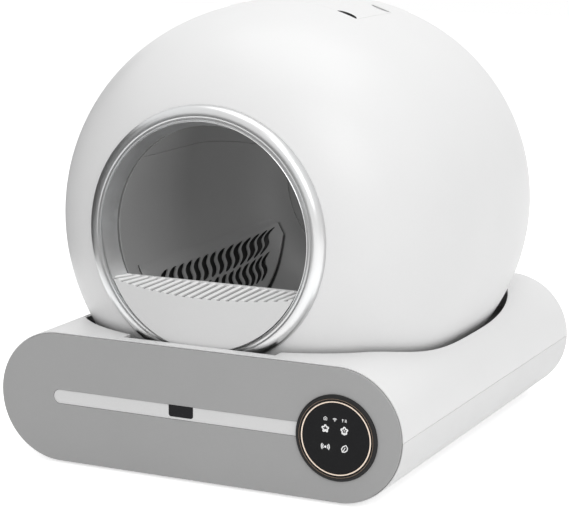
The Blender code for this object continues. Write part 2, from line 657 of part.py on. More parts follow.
def make_cradle():
    """Inner frame: a plate that carries the globe, legs down to the floor and lugs for the roller shafts."""
    plate_low = CRADLE_TOP - CRADLE_PLATE
    frame = depth_block(
        "cradle_frame",
        (-CRADLE_HALF_WIDTH, CRADLE_HALF_WIDTH),
        (CRADLE_FRONT_DEPTH, CRADLE_BACK_DEPTH),
        (plate_low, CRADLE_TOP),
        GREY_FRAME,
    )
    overlap = CRADLE_PLATE / 2
    for side in (-1, 1):
        for depth in LEG_DEPTHS:
            across = sorted((side * (LEG_OFFSET - LEG_SIZE / 2), side * (LEG_OFFSET + LEG_SIZE / 2)))
            leg = depth_block(
                "cradle_leg",
                across,
                (depth - LEG_SIZE / 2, depth + LEG_SIZE / 2),
                (FLOOR_HEIGHT + TOUCH_GAP, plate_low + overlap),
            )
            boolean(frame, leg, "UNION")
        inner = ROLLER_X - ROLLER_SHAFT_RADIUS - LUG_MARGIN / 2
        outer = ROLLER_X + ROLLER_SHAFT_RADIUS + 2 * LUG_MARGIN
        for depth in LUG_DEPTHS:
            lug = depth_block(
                "cradle_lug",
                sorted((side * inner, side * outer)),
                (depth - LUG_THICKNESS / 2, depth + LUG_THICKNESS / 2),
                (ROLLER_Z - ROLLER_SHAFT_RADIUS - LUG_MARGIN / 2, plate_low + overlap),
            )
            boolean(frame, lug, "UNION")
    sweep = rod(
        "drum_sweep_cutter",
        DRUM_RADIUS + CRADLE_DRUM_GAP,
        CRADLE_OPENING_FRONT_DEPTH,
        CRADLE_OPENING_BACK_DEPTH,
        0,
        AXIS_HEIGHT,
        steps=2 * DRUM_STEPS,
    )
    boolean(frame, sweep)
    for side in (-1, 1):
        hole = rod(
            "roller_shaft_cutter",
            ROLLER_SHAFT_RADIUS + BEARING_GAP,
            ROLLER_SHAFT_FRONT_DEPTH - OVERRUN,
            ROLLER_SHAFT_BACK_DEPTH + OVERRUN,
            side * ROLLER_X,
            ROLLER_Z,
        )
        boolean(frame, hole)
        for depth in ROLLER_DEPTHS:
            reach = ROLLER_WIDTH / 2 + RUNNING_GAP
            room = ROLLER_RADIUS + RUNNING_GAP
            pocket = rod("roller_pocket_cutter", room, depth - reach, depth + reach, side * ROLLER_X, ROLLER_Z)
            boolean(frame, pocket)
        for depth in SCREWED_LEG_DEPTHS.values():
            foot = at_depth(depth, side * LEG_OFFSET, FLOOR_HEIGHT)
            boolean(frame, upright_cutter("pilot_cutter", SCREW_HOLE_RADIUS, SCREW_REACH, foot))


def make_rollers():
    """Two shafts under the drum, each with a front and a back roller pressed on."""
    half = ROLLER_WIDTH / 2
    for side, across in (("left", -ROLLER_X), ("right", ROLLER_X)):
        rod(
            f"roller_shaft_{side}",
            ROLLER_SHAFT_RADIUS,
            ROLLER_SHAFT_FRONT_DEPTH,
            ROLLER_SHAFT_BACK_DEPTH,
            across,
            ROLLER_Z,
            STEEL,
        )
        for where, depth in zip(("front", "back"), ROLLER_DEPTHS):
            profile = [
                (ROLLER_RADIUS - ROLLER_CHAMFER, depth - half),
                (ROLLER_RADIUS, depth - half + ROLLER_CHAMFER),
                (ROLLER_RADIUS, depth + half - ROLLER_CHAMFER),
                (ROLLER_RADIUS - ROLLER_CHAMFER, depth + half),
                (ROLLER_SHAFT_RADIUS + TOUCH_GAP, depth + half),
                (ROLLER_SHAFT_RADIUS + TOUCH_GAP, depth - half),
            ]
            turned_at(f"roller_{side}_{where}", profile, RUBBER, across, ROLLER_Z)


def hatch_block(name, margin, depth_margin):
    """A tall box over the hatch opening, grown by margins."""
    return depth_block(
        name,
        (-HATCH_HALF_WIDTH - margin, HATCH_HALF_WIDTH + margin),
        (HATCH_FRONT_DEPTH - depth_margin, HATCH_BACK_DEPTH + depth_margin),
        (AXIS_HEIGHT + GLOBE_RADIUS / 2, AXIS_HEIGHT + GLOBE_RADIUS + OVERRUN),
    )


def hood_line():
    """Outer line of the globe's front piece, which starts inside the bore for the entry ring."""
    outer = globe_line(front_edge_depth(RING_RADIUS), GLOBE_PARTING_DEPTH, GLOBE_RINGS)
    return [(HOOD_START_RADIUS, front_edge_depth(HOOD_START_RADIUS))] + outer


def ring_turned(name, profile, finish, closed=True):
    """A piece turned on the entry ring's own axis, which lies above the globe's and leans back a little."""
    made = turned_at(name, profile, finish, z=RING_HEIGHT, steps=RING_SEGMENTS, closed=closed)
    made.rotation_euler.x -= RING_TILT
    return made


def make_globe():
    """Fixed outer globe in two pieces, cut level where it stands on the cradle."""
    below = depth_block(
        "globe_cut",
        (-BASE_WIDTH, BASE_WIDTH),
        (-OVERRUN, BASE_LENGTH + OVERRUN),
        (-OVERRUN, GLOBE_CUT_HEIGHT),
    )
    outer = hood_line()
    inner = offset_line(outer, GLOBE_WALL)
    inner[0] = (HOOD_START_RADIUS, inner[0][1])
    hood = turned_at("globe_shell", outer + inner[::-1], WHITE_TOP, steps=GLOBE_STEPS)
    end = RING_SHOULDER_DEPTH + OVERRUN
    bore = [(0, 0), (HOOD_BORE_RADIUS, 0), (HOOD_BORE_RADIUS, end), (0, end)]
    boolean(hood, ring_turned("hood_bore_cutter", bore, None, closed=False))
    boolean(hood, below)
    boolean(hood, hatch_block("hatch_opening_cutter", SEAM_GAP, SEAM_GAP))

    start = GLOBE_PARTING_DEPTH + SEAM_GAP
    depths = spread(start, GLOBE_SHOULDER_DEPTH, 5)
    outer = [(globe_radius(depth), depth) for depth in depths]
    outer.append((GLOBE_END_RADIUS, GLOBE_END_DEPTH))
    inner = offset_line(outer[:-1], GLOBE_WALL)
    inner.append((GLOBE_END_RADIUS, GLOBE_INNER_END_DEPTH))
    profile = outer + [(0, GLOBE_END_DEPTH), (0, GLOBE_INNER_END_DEPTH)] + inner[::-1]
    cover = turned_at("globe_rear_cover", profile, WHITE_TOP, steps=GLOBE_STEPS)
    boolean(cover, below)


def make_hatch():
    """Lift-out fill hatch with finger slots at its corners, and the soft seal that it rests on."""
    lap = HATCH_SEAL_LAP
    outer = hood_line()
    hatch = turned_at("fill_hatch", shell_profile(outer, GLOBE_WALL), WHITE_TOP, steps=GLOBE_STEPS)
    boolean(hatch, hatch_block("hatch_trim", 0, 0), "INTERSECT")
    tall = (AXIS_HEIGHT, AXIS_HEIGHT + GLOBE_RADIUS + OVERRUN)
    for side in (-1, 1):
        across = sorted((side * HATCH_SLOT_INNER, side * HATCH_SLOT_OUTER))
        front = (HATCH_FRONT_DEPTH - OVERRUN, HATCH_FRONT_DEPTH + HATCH_SLOT_WIDTH)
        back = (HATCH_BACK_DEPTH - HATCH_SLOT_WIDTH, HATCH_BACK_DEPTH + OVERRUN)
        boolean(hatch, depth_block("front_slot_cutter", across, front, tall))
        boolean(hatch, depth_block("back_slot_cutter", across, back, tall))
    seat = offset_line(outer, GLOBE_WALL + TOUCH_GAP)
    seal = turned_at("hatch_seal", shell_profile(seat, HATCH_SEAL_THICKNESS), RUBBER, steps=GLOBE_STEPS)
    boolean(seal, hatch_block("seal_trim", lap, lap), "INTERSECT")
    boolean(seal, hatch_block("seal_opening_cutter", -lap, -lap))


def make_entry_ring():
    """Turned bright ring round the entry, with a rounded face and a short sleeve."""
    bulge = []
    collar_depth = front_edge_depth(RING_COLLAR_RADIUS) - SEAM_GAP
    back = Vector((RING_RADIUS, front_edge_depth(RING_RADIUS) - SEAM_GAP))
    lip = Vector((RING_LIP_RADIUS, RING_LIP_DEPTH))
    corner = Vector((RING_RADIUS, RING_CORNER_DEPTH))
    for share in spread(0, 1, RING_BULGE_POINTS):
        point = lip.lerp(corner, share).lerp(corner.lerp(back, share), share)
        bulge.append((point.x, point.y))
    profile = bulge + [
        (RING_COLLAR_RADIUS, collar_depth),
        (RING_COLLAR_RADIUS, RING_SHOULDER_DEPTH),
        (RING_BORE_RADIUS + RING_SLEEVE_WALL, RING_SHOULDER_DEPTH),
        (RING_BORE_RADIUS + RING_SLEEVE_WALL, RING_END_DEPTH),
        (RING_BORE_RADIUS, RING_END_DEPTH),
        (RING_LIP_RADIUS - RING_LIP_WIDTH, RING_LIP_DEPTH + RING_LIP_WIDTH),
        (RING_LIP_RADIUS - RING_LIP_WIDTH, RING_LIP_DEPTH),
    ]
    ring_turned("entry_ring", profile, SILVER)


def tread_outline(drop):
    """Section of the step: a block with rounded ribs along its top, lowered by a drop that depends on the place."""
    first = -TREAD_RIB_PITCH * (TREAD_RIBS - 1) / 2
    half = TREAD_RIB_WIDTH / 2
    low = -TREAD_RIB_HEIGHT
    top = [(STEP_HALF_WIDTH, low)]
    for i in reversed(range(TREAD_RIBS)):
        centre = first + TREAD_RIB_PITCH * i
        top.append((centre + half, low))
        top.append((centre + half * TREAD_RIB_TOP_SHARE, 0))
        top.append((centre - half * TREAD_RIB_TOP_SHARE, 0))
        top.append((centre - half, low))
    top.append((-STEP_HALF_WIDTH, low))
    foot = [(-STEP_HALF_WIDTH, STEP_LOW_HEIGHT), (STEP_HALF_WIDTH, STEP_LOW_HEIGHT)]
    return foot + [(across, STEP_TOP_HEIGHT + rise - drop(across)) for across, rise in top]


def tread_front_drop(across):
    """How far the ribs' front ends, past the chin, lie below the level back edge; they dip in the middle."""
    side_share = (across / STEP_HALF_WIDTH) ** 2
    chin_drop = TREAD_DIP - (TREAD_DIP - TREAD_SIDE_DIP) * side_share
    chin_depth = STEP_FRONT_DEPTH + STEP_BULGE_RADIUS - math.sqrt(STEP_BULGE_RADIUS**2 - across**2)
    return chin_drop * (STEP_BACK_DEPTH - STEP_FRONT_DEPTH + OVERRUN) / (STEP_BACK_DEPTH - chin_depth)


def chin_outline(inset):
    """Plan of the step: a bulged front, drawn in by an inset, and a back past its end."""
    reach = math.asin((STEP_HALF_WIDTH + OVERRUN) / STEP_BULGE_RADIUS)
    centre = (0, STEP_FRONT_DEPTH + STEP_BULGE_RADIUS)
    middle = -math.pi / 2
    front = arc(centre, STEP_BULGE_RADIUS - inset, middle - reach, middle + reach, STEP_BULGE_POINTS)
    back = STEP_BACK_DEPTH + 2 * OVERRUN
    return front + [(front[-1][0], back), (front[0][0], back)]


def lofted(name, front, back, front_depth, back_depth, finish):
    """A solid between two outlines of as many points, one in front and one behind."""
    count = len(front)
    points = [(across, front_depth, up) for across, up in front]
    points += [(across, back_depth, up) for across, up in back]
    faces = [(i, i + count, (i + 1) % count + count, (i + 1) % count) for i in range(count)]
    faces += [tuple(range(count)), tuple(reversed(range(count, 2 * count)))]
    mesh = bpy.data.meshes.new(name)
    mesh.from_pydata(points, [], faces)
    return place(name, mesh, finish, at_depth(0))


def make_step():
    """White chin and ribbed tread that fill the bottom of the ring."""
    front, back = tread_outline(tread_front_drop), tread_outline(lambda across: 0)
    step = lofted("entry_step", front, back, STEP_FRONT_DEPTH - OVERRUN, STEP_BACK_DEPTH, WHITE_STEP)
    front_radius = RING_LIP_RADIUS - RING_LIP_WIDTH - STEP_GAP
    back_radius = RING_BORE_RADIUS - STEP_GAP
    bore = [
        (0, STEP_FRONT_DEPTH - OVERRUN),
        (front_radius, STEP_FRONT_DEPTH - OVERRUN),
        (front_radius, RING_LIP_DEPTH + RING_LIP_WIDTH),
        (back_radius, RING_END_DEPTH),
        (back_radius, STEP_BACK_DEPTH + OVERRUN),
        (0, STEP_BACK_DEPTH + OVERRUN),
    ]
    trim = ring_turned("step_bore_trim", bore, None, closed=False)
    middle = at_depth(0, 0, STEP_TOP_HEIGHT)
    bulge = plate("step_bulge_trim", [chin_outline(0)], 2 * STEP_HEIGHT, None, middle, UPRIGHT)
    boolean(trim, bulge, "INTERSECT")
    boolean(step, trim, "INTERSECT")
    hollow = depth_block(
        "step_hollow_cutter",
        (-STEP_HALF_WIDTH - OVERRUN, STEP_HALF_WIDTH + OVERRUN),
        (STEP_FRONT_DEPTH, STEP_BACK_DEPTH + OVERRUN),
        (STEP_LOW_HEIGHT - OVERRUN, STEP_TOP_HEIGHT - TREAD_DIP - TREAD_RIB_HEIGHT - STEP_PLATE),
    )
    room = plate("step_room_trim", [chin_outline(STEP_WALL)], 2 * STEP_HEIGHT, None, middle, UPRIGHT)
    boolean(hollow, room, "INTERSECT")
    boolean(step, hollow)


def drum_half(name, start):
    """Half of the drum's shell, the half turn that starts at an angle."""
    half = turned_at(name, shell_profile(drum_line(), DRUM_WALL), GREY_DRUM, steps=DRUM_STEPS)
    boolean(half, wedge(name + "_trim", start, start + math.pi, SEAM_GAP / 2), "INTERSECT")
    return half


def make_drum():
    """Turning drum in two halves, with an open mouth, a waste port on top and a back plate with its hub."""
    upper = drum_half("drum_upper_shell", DRUM_SEAM_ANGLE - math.pi)
    drum_half("drum_lower_shell", DRUM_SEAM_ANGLE)
    port = depth_block(
        "waste_port_cutter",
        (-PORT_HALF_WIDTH, PORT_HALF_WIDTH),
        (PORT_FRONT_DEPTH, PORT_BACK_DEPTH),
        (AXIS_HEIGHT, AXIS_HEIGHT + DRUM_RADIUS + OVERRUN),
    )
    boolean(upper, port)
    back = BACK_PLATE_DEPTH + BACK_PLATE_THICKNESS
    bore = BUSH_RADIUS + TOUCH_GAP
    profile = [
        (HUB_RADIUS, HUB_FRONT_DEPTH),
        (HUB_RADIUS, BACK_PLATE_DEPTH),
        (BACK_PLATE_RADIUS, BACK_PLATE_DEPTH),
        (BACK_PLATE_RADIUS, back),
        (HUB_RADIUS, back),
        (HUB_RADIUS, HUB_BACK_DEPTH),
        (bore, HUB_BACK_DEPTH),
        (bore, HUB_FRONT_DEPTH),
    ]
    turned_at("drum_back_plate", profile, GREY_DRUM, steps=DRUM_STEPS)
    bush = [
        (BUSH_RADIUS, HUB_FRONT_DEPTH),
        (BUSH_RADIUS, HUB_BACK_DEPTH),
        (AXLE_RADIUS + BEARING_GAP, HUB_BACK_DEPTH),
        (AXLE_RADIUS + BEARING_GAP, HUB_FRONT_DEPTH),
    ]
    turned_at("axle_bush", bush, BRONZE)
    flange_back = GLOBE_INNER_END_DEPTH - TOUCH_GAP
    axle = [
        (0, AXLE_FRONT_DEPTH),
        (AXLE_RADIUS, AXLE_FRONT_DEPTH),
        (AXLE_RADIUS, flange_back - AXLE_FLANGE_THICKNESS),
        (AXLE_FLANGE_RADIUS, flange_back - AXLE_FLANGE_THICKNESS),
        (AXLE_FLANGE_RADIUS, flange_back),
        (0, flange_back),
    ]
    turned_at("drum_axle", axle, STEEL, closed=False)


def make_drive():
    """Toothed ring on the drum's back, with the pinion and gear motor below the axle."""
    middle = at_depth(GEAR_DEPTH + GEAR_WIDTH / 2, 0, AXIS_HEIGHT)
    half_pitch = math.pi / DRUM_GEAR_TEETH
    teeth = gear_outline(DRUM_GEAR_TEETH, -math.pi / 2 + half_pitch)
    bore = circle((0, 0), GEAR_BORE_RADIUS, DRUM_STEPS)
    plate("drum_gear", [teeth, bore], GEAR_WIDTH, NYLON, middle)
    low = AXIS_HEIGHT - GEAR_SPACING
    pinion = gear_outline(PINION_TEETH, math.pi / 2)
    hole = circle((0, 0), MOTOR_SHAFT_RADIUS + TOUCH_GAP, SMALL_STEPS)
    plate("drive_pinion", [pinion, hole], GEAR_WIDTH, NYLON, at_depth(GEAR_DEPTH + GEAR_WIDTH / 2, 0, low))
    motor = [
        (0, GEAR_DEPTH),
        (MOTOR_SHAFT_RADIUS, GEAR_DEPTH),
        (MOTOR_SHAFT_RADIUS, MOTOR_FRONT_DEPTH - MOTOR_NOSE_LENGTH),
        (MOTOR_NOSE_RADIUS, MOTOR_FRONT_DEPTH - MOTOR_NOSE_LENGTH),
        (MOTOR_NOSE_RADIUS, MOTOR_FRONT_DEPTH),
        (MOTOR_RADIUS, MOTOR_FRONT_DEPTH),
        (MOTOR_RADIUS, MOTOR_BACK_DEPTH),
        (0, MOTOR_BACK_DEPTH),
    ]
    turned_at("drive_motor", motor, STEEL, 0, low, closed=False)


def sieve_line():
    """The sieve's outer face line, drawn in from the drum's own line."""
    dome = back_dome_line(DRUM_RADIUS, DRUM_END_DEPTH, DRUM_DOME_POINTS)
    return [(DRUM_RADIUS, SIEVE_FRONT_DEPTH)] + dome[:-1]


def walk(line, distance):
    """The point at a distance along a line, and the direction there."""
    left = distance
    for start, end in zip(line, line[1:]):
        step = Vector(end) - Vector(start)
        if left <= step.length or end == line[-1]:
            along = step.normalized()
            return Vector(start) + along * left, along
        left -= step.length


def line_length(line):
    return sum((Vector(end) - Vector(start)).length for start, end in zip(line, line[1:]))


def trimmed_line(line, margin):
    """A line shortened by a margin at both ends."""
    first, _ = walk(line, margin)
    last, _ = walk(line, line_length(line) - margin)
    return [tuple(first)] + line[1:-1] + [tuple(last)]


def wavy_slots(name, line, rows):
    """One cutter holding every wavy slot, each a strip that winds across the sieve."""
    mesh = bpy.data.meshes.new(name)
    shape = bmesh.new()
    reach = (SIEVE_INSET - DRUM_WALL) / 2
    for distance in spread(SLOT_MARGIN, line_length(line) - SLOT_MARGIN, SLOT_COLUMNS):
        for start, end in rows:
            rings = []
            for share in spread(0, 1, SLOT_STATIONS):
                turn = start + (end - start) * share
                wave = SLOT_WAVE * math.sin(math.tau * SLOT_WAVES_SHARE * share)
                middle, along = walk(line, distance + wave)
                out = Vector((along.y, -along.x)) * reach
                wide = along * SLOT_WIDTH / 2
                corners = (middle + out - wide, middle - out - wide, middle - out + wide, middle + out + wide)
                rings.append([shape.verts.new(polar(radius, turn, depth)) for radius, depth in corners])
            for one, two in zip(rings, rings[1:]):
                for i in range(4):
                    shape.faces.new((one[i], one[(i + 1) % 4], two[(i + 1) % 4], two[i]))
            shape.faces.new(rings[0][::-1])
            shape.faces.new(rings[-1])
    bmesh.ops.recalc_face_normals(shape, faces=shape.faces)
    shape.to_mesh(mesh)
    shape.free()
    return place(name, mesh, None, (0, 0, 0))


def polar(radius, turn, depth):
    """A point at an angle from straight up, turning towards the left side."""
    return at_depth(depth, -radius * math.sin(turn), AXIS_HEIGHT + radius * math.cos(turn))


def make_sieve():
    """Curved screen that follows the drum's left wall, carried on flanges and pierced by wavy slots."""
    wall = sieve_line()
    rim = offset_line(wall, DRUM_WALL + SEAM_GAP)
    face = offset_line(wall, SIEVE_INSET)
    inner = offset_line(wall, SIEVE_INSET + SIEVE_THICKNESS)
    sieve = turned_at("sieve_screen", rim + inner[::-1], GREY_SIEVE, steps=DRUM_STEPS)
    floor = trimmed_line(face, SIEVE_FLANGE)
    pocket_profile = offset_line(floor, -SIEVE_INSET) + floor[::-1]
    pocket = turned_at("sieve_pocket_cutter", pocket_profile, None, steps=DRUM_STEPS)
    flange_angle = SIEVE_FLANGE / DRUM_RADIUS
    end = SIEVE_TOP_ANGLE + SIEVE_SPAN_ANGLE
    boolean(pocket, wedge("pocket_wedge", SIEVE_TOP_ANGLE + flange_angle, end - flange_angle), "INTERSECT")
    boolean(sieve, wedge("sieve_wedge", SIEVE_TOP_ANGLE, end), "INTERSECT")
    boolean(sieve, pocket)
    boolean(sieve, wavy_slots("sieve_slot_cutter", face, (UPPER_SLOT_ANGLES, LOWER_SLOT_ANGLES)))


def wedge(name, start, end, inset=0.0):
    """A slice of space about the drum's axis between two angles, its point moved into it by an inset."""
    reach = 2 * DRUM_RADIUS
    middle = (start + end) / 2
    point = (-inset * math.sin(middle), inset * math.cos(middle))
    outline = [point]
    for angle in (start, middle, end):
        outline.append((point[0] - reach * math.sin(angle), point[1] + reach * math.cos(angle)))
    length = DRUM_END_DEPTH + OVERRUN
    return plate(name, [outline], length, None, at_depth(length / 2, 0, AXIS_HEIGHT))


def make_drawer():
    """Grey front panel with the waste bin behind it, a bag frame on the bin and two rails below."""
    outline = round_ended(PANEL_INSET + SEAM_GAP)
    hole = circle((DISPLAY_CENTRE, DISPLAY_HEIGHT), DISPLAY_BARREL_RADIUS + TOUCH_GAP, 2 * SMALL_STEPS)
    middle = at_depth(PANEL_THICKNESS / 2)
    panel = plate("drawer_front", [outline, hole], PANEL_THICKNESS, GREY_PANEL, middle)
    recess = plate("strip_recess_cutter", [strip_outline(0)], STRIP_RECESS + OVERRUN, None, at_depth(0))
    recess.location = at_depth((STRIP_RECESS - OVERRUN) / 2)
    boolean(panel, recess)

    seat = STRIP_RECESS - TOUCH_GAP
    strip = plate("handle_strip", [strip_outline(TOUCH_GAP)], STRIP_THICKNESS, WHITE_STRIP, at_depth(0))
    strip.location = at_depth(seat - STRIP_THICKNESS / 2)
    notch_depth = STRIP_RECESS + OVERRUN
    notch = plate("sensor_notch_cutter", [sensor_outline(TOUCH_GAP, OVERRUN)], 2 * notch_depth, None, at_depth(0))
    boolean(strip, notch)
    window_middle = at_depth(seat - SENSOR_THICKNESS / 2)
    plate("sensor_window", [sensor_outline(0, -TOUCH_GAP)], SENSOR_THICKNESS, BLACK, window_middle)

    bin_front = PANEL_SEAT_DEPTH
    waste_bin = depth_block(
        "waste_bin",
        (-BIN_HALF_WIDTH, BIN_HALF_WIDTH),
        (bin_front, BIN_BACK_DEPTH),
        (BIN_FLOOR_HEIGHT, BIN_TOP_HEIGHT),
        GREY_FRAME,
    )
    room = depth_block(
        "bin_room_cutter",
        (-BIN_HALF_WIDTH + BIN_WALL, BIN_HALF_WIDTH - BIN_WALL),
        (bin_front + BIN_WALL, BIN_BACK_DEPTH - BIN_WALL),
        (BIN_FLOOR_HEIGHT + BIN_WALL, BIN_TOP_HEIGHT + OVERRUN),
    )
    boolean(waste_bin, room)
    frame_low = BIN_TOP_HEIGHT + TOUCH_GAP
    frame = depth_block(
        "bag_frame",
        (-BIN_HALF_WIDTH, BIN_HALF_WIDTH),
        (bin_front, BIN_BACK_DEPTH),
        (frame_low, frame_low + BAG_FRAME_THICKNESS),
        WHITE_LOW,
    )
    window = depth_block(
        "bag_frame_cutter",
        (-BIN_HALF_WIDTH + BAG_FRAME_WIDTH, BIN_HALF_WIDTH - BAG_FRAME_WIDTH),
        (bin_front + BAG_FRAME_WIDTH, BIN_BACK_DEPTH - BAG_FRAME_WIDTH),
        (frame_low - OVERRUN, frame_low + BAG_FRAME_THICKNESS + OVERRUN),
    )
    boolean(frame, window)
    for side, sign in (("left", -1), ("right", 1)):
        length = BIN_BACK_DEPTH - RAIL_FRONT_DEPTH
        inner = BIN_HALF_WIDTH - RAIL_SEAT
        wall = BIN_HALF_WIDTH + SEAM_GAP
        low = FLOOR_HEIGHT + TOUCH_GAP
        seat_top = BIN_FLOOR_HEIGHT - TOUCH_GAP
        outline = [
            (sign * inner, low),
            (sign * (wall + RAIL_THICKNESS), low),
            (sign * (wall + RAIL_THICKNESS), low + RAIL_HEIGHT),
            (sign * wall, low + RAIL_HEIGHT),
            (sign * wall, seat_top),
            (sign * inner, seat_top),
        ]
        plate(f"drawer_rail_{side}", [outline], length, GREY_FRAME, at_depth(RAIL_FRONT_DEPTH + length / 2))


def sensor_outline(grow, rise):
    """The sensor window: round lower corners, and its top edge against the recess's top."""
    half = SENSOR_WIDTH / 2 + grow
    low, top = SENSOR_LOW_HEIGHT - grow, STRIP_HIGH_HEIGHT + rise
    radius = SENSOR_CORNER_RADIUS + grow
    left = (SENSOR_CENTRE - half + radius, low + radius)
    right = (SENSOR_CENTRE + half - radius, low + radius)
    line = arc(left, radius, math.pi, 3 * math.pi / 2, SENSOR_CORNER_POINTS)
    line += arc(right, radius, 3 * math.pi / 2, 2 * math.pi, SENSOR_CORNER_POINTS)
    return line + [(SENSOR_CENTRE + half, top), (SENSOR_CENTRE - half, top)]


def strip_outline(inset):
    """The long strip in the panel, round at its left end and square at the display."""
    low, high = STRIP_LOW_HEIGHT + inset, STRIP_HIGH_HEIGHT - inset
    radius = (high - low) / 2
    centre = (STRIP_LEFT + inset + radius, low + radius)
    right = DISPLAY_CENTRE - DISPLAY_BARREL_RADIUS - DISPLAY_PROUD / 2 - inset
    left_end = arc(centre, radius, math.pi / 2, 3 * math.pi / 2, STRIP_END_POINTS)
    return [(right, low), (right, high)] + left_end


def make_display():
    """Round touch display: a black bezel in the panel, a gold ring, a glass disc and its board."""
    inner = DISPLAY_BARREL_RADIUS - DISPLAY_WALL
    accent_outer = ACCENT_RADIUS
    accent_inner = ACCENT_RADIUS - ACCENT_WIDTH
    face = -DISPLAY_PROUD
    ledge = BEZEL_LEDGE_BACK_DEPTH - GLASS_THICKNESS
    ledge_radius = inner - BEZEL_LEDGE
    profile = [
        (DISPLAY_FLANGE_RADIUS, face),
        (DISPLAY_FLANGE_RADIUS, -TOUCH_GAP),
        (DISPLAY_BARREL_RADIUS, -TOUCH_GAP),
        (DISPLAY_BARREL_RADIUS, DISPLAY_BARREL_DEPTH),
        (inner, DISPLAY_BARREL_DEPTH),
        (inner, BEZEL_LEDGE_BACK_DEPTH),
        (ledge_radius, BEZEL_LEDGE_BACK_DEPTH),
        (ledge_radius, ledge),
        (inner, ledge),
        (inner, face),
    ]
    turned_at("display_bezel", profile, BLACK, DISPLAY_CENTRE, DISPLAY_HEIGHT, 2 * SMALL_STEPS)
    seat = ledge - TOUCH_GAP
    glass = [
        (0, face + GLASS_SINK),
        (accent_inner - TOUCH_GAP, face + GLASS_SINK),
        (accent_inner - TOUCH_GAP, seat),
        (0, seat),
    ]
    turned_at("display_glass", glass, BLACK, DISPLAY_CENTRE, DISPLAY_HEIGHT, 2 * SMALL_STEPS, False)
    accent = [
        (accent_outer, face + GLASS_SINK / 2),
        (accent_outer, seat),
        (accent_inner, seat),
        (accent_inner, face + GLASS_SINK / 2),
    ]
    turned_at("accent_ring", accent, GOLD, DISPLAY_CENTRE, DISPLAY_HEIGHT, 2 * SMALL_STEPS)
    board_radius = inner - TOUCH_GAP
    board = [
        (0, BOARD_DEPTH),
        (board_radius, BOARD_DEPTH),
        (board_radius, BOARD_DEPTH + BOARD_THICKNESS),
        (0, BOARD_DEPTH + BOARD_THICKNESS),
    ]
    turned_at("control_board", board, BOARD_GREEN, DISPLAY_CENTRE, DISPLAY_HEIGHT, SMALL_STEPS, False)


WHITE_TOP = material("white_shell", (0.86, 0.86, 0.86), 0.35)
WHITE_LOW = material("white_base", (0.80, 0.80, 0.80), 0.40)
WHITE_STEP = material("white_step", (0.74, 0.74, 0.74), 0.45)
WHITE_STRIP = material("pale_strip", (0.60, 0.60, 0.60), 0.40)
GREY_PANEL = material("grey_panel", (0.34, 0.34, 0.34), 0.45)
GREY_DRUM = material("grey_drum", (0.12, 0.12, 0.12), 0.55)
GREY_SIEVE = material("grey_sieve", (0.11, 0.11, 0.11), 0.55)
GREY_FRAME = material("grey_frame", (0.22, 0.22, 0.22), 0.50)
SILVER = material("brushed_silver", (0.75, 0.76, 0.76), 0.25, 1.0)
STEEL = material("steel", (0.55, 0.55, 0.56), 0.35, 1.0)
BRONZE = material("bronze", (0.55, 0.38, 0.20), 0.40, 1.0)
GOLD = material("rose_gold", (0.85, 0.62, 0.45), 0.25, 1.0)
BLACK = material("gloss_black", (0.012, 0.012, 0.014), 0.15)
RUBBER = material("grey_rubber", (0.10, 0.10, 0.10), 0.80)
NYLON = material("natural_nylon", (0.78, 0.76, 0.70), 0.50)
BOARD_GREEN = material("board_green", (0.03, 0.16, 0.07), 0.50)

make_base_shells()
make_rear_panel()
make_feet()
make_screws()
make_cradle()
make_rollers()
make_globe()
make_hatch()
make_entry_ring()
make_step()
make_drum()
make_drive()
make_sieve()
make_drawer()
make_display()
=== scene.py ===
import math

import bmesh
import bpy
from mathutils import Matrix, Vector


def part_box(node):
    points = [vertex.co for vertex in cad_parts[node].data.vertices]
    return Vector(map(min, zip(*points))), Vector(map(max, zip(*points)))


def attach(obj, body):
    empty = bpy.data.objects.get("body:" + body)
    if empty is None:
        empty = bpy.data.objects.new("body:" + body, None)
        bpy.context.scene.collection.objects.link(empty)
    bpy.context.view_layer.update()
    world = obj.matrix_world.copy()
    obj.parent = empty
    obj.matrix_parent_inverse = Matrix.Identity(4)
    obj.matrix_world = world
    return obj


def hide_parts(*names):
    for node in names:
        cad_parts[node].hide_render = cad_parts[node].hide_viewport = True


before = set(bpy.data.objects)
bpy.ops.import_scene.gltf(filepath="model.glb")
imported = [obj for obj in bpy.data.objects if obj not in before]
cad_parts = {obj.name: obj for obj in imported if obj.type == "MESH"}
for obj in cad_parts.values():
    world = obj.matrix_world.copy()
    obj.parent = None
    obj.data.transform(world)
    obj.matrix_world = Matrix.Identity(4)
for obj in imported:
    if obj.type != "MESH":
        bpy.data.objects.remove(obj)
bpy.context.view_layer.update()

# Studio. The litter box stands on a wide pale floor in a white room. A large soft lamp stands at the upper
# right front, a wide one hangs overhead and a small weak one shines into the drum. Two dark cards at the left
# show only in gloss, so that the bright ring has something to reflect.
CAMERA_PLACE = (1.11921, -2.33431, 0.74273)
CAMERA_TURN = math.radians(26.31)
CAMERA_TILT = math.radians(11.369)
CAMERA_SENSOR = 36
CAMERA_LENS = 125.96
CAMERA_SHIFT = (0.0153, 0.0114)
FLOOR_SIZE = 14.0
FLOOR_GLOW = 0.62
BACKDROP_WHITE = 1.0
ROOM_LIGHT = 0.64


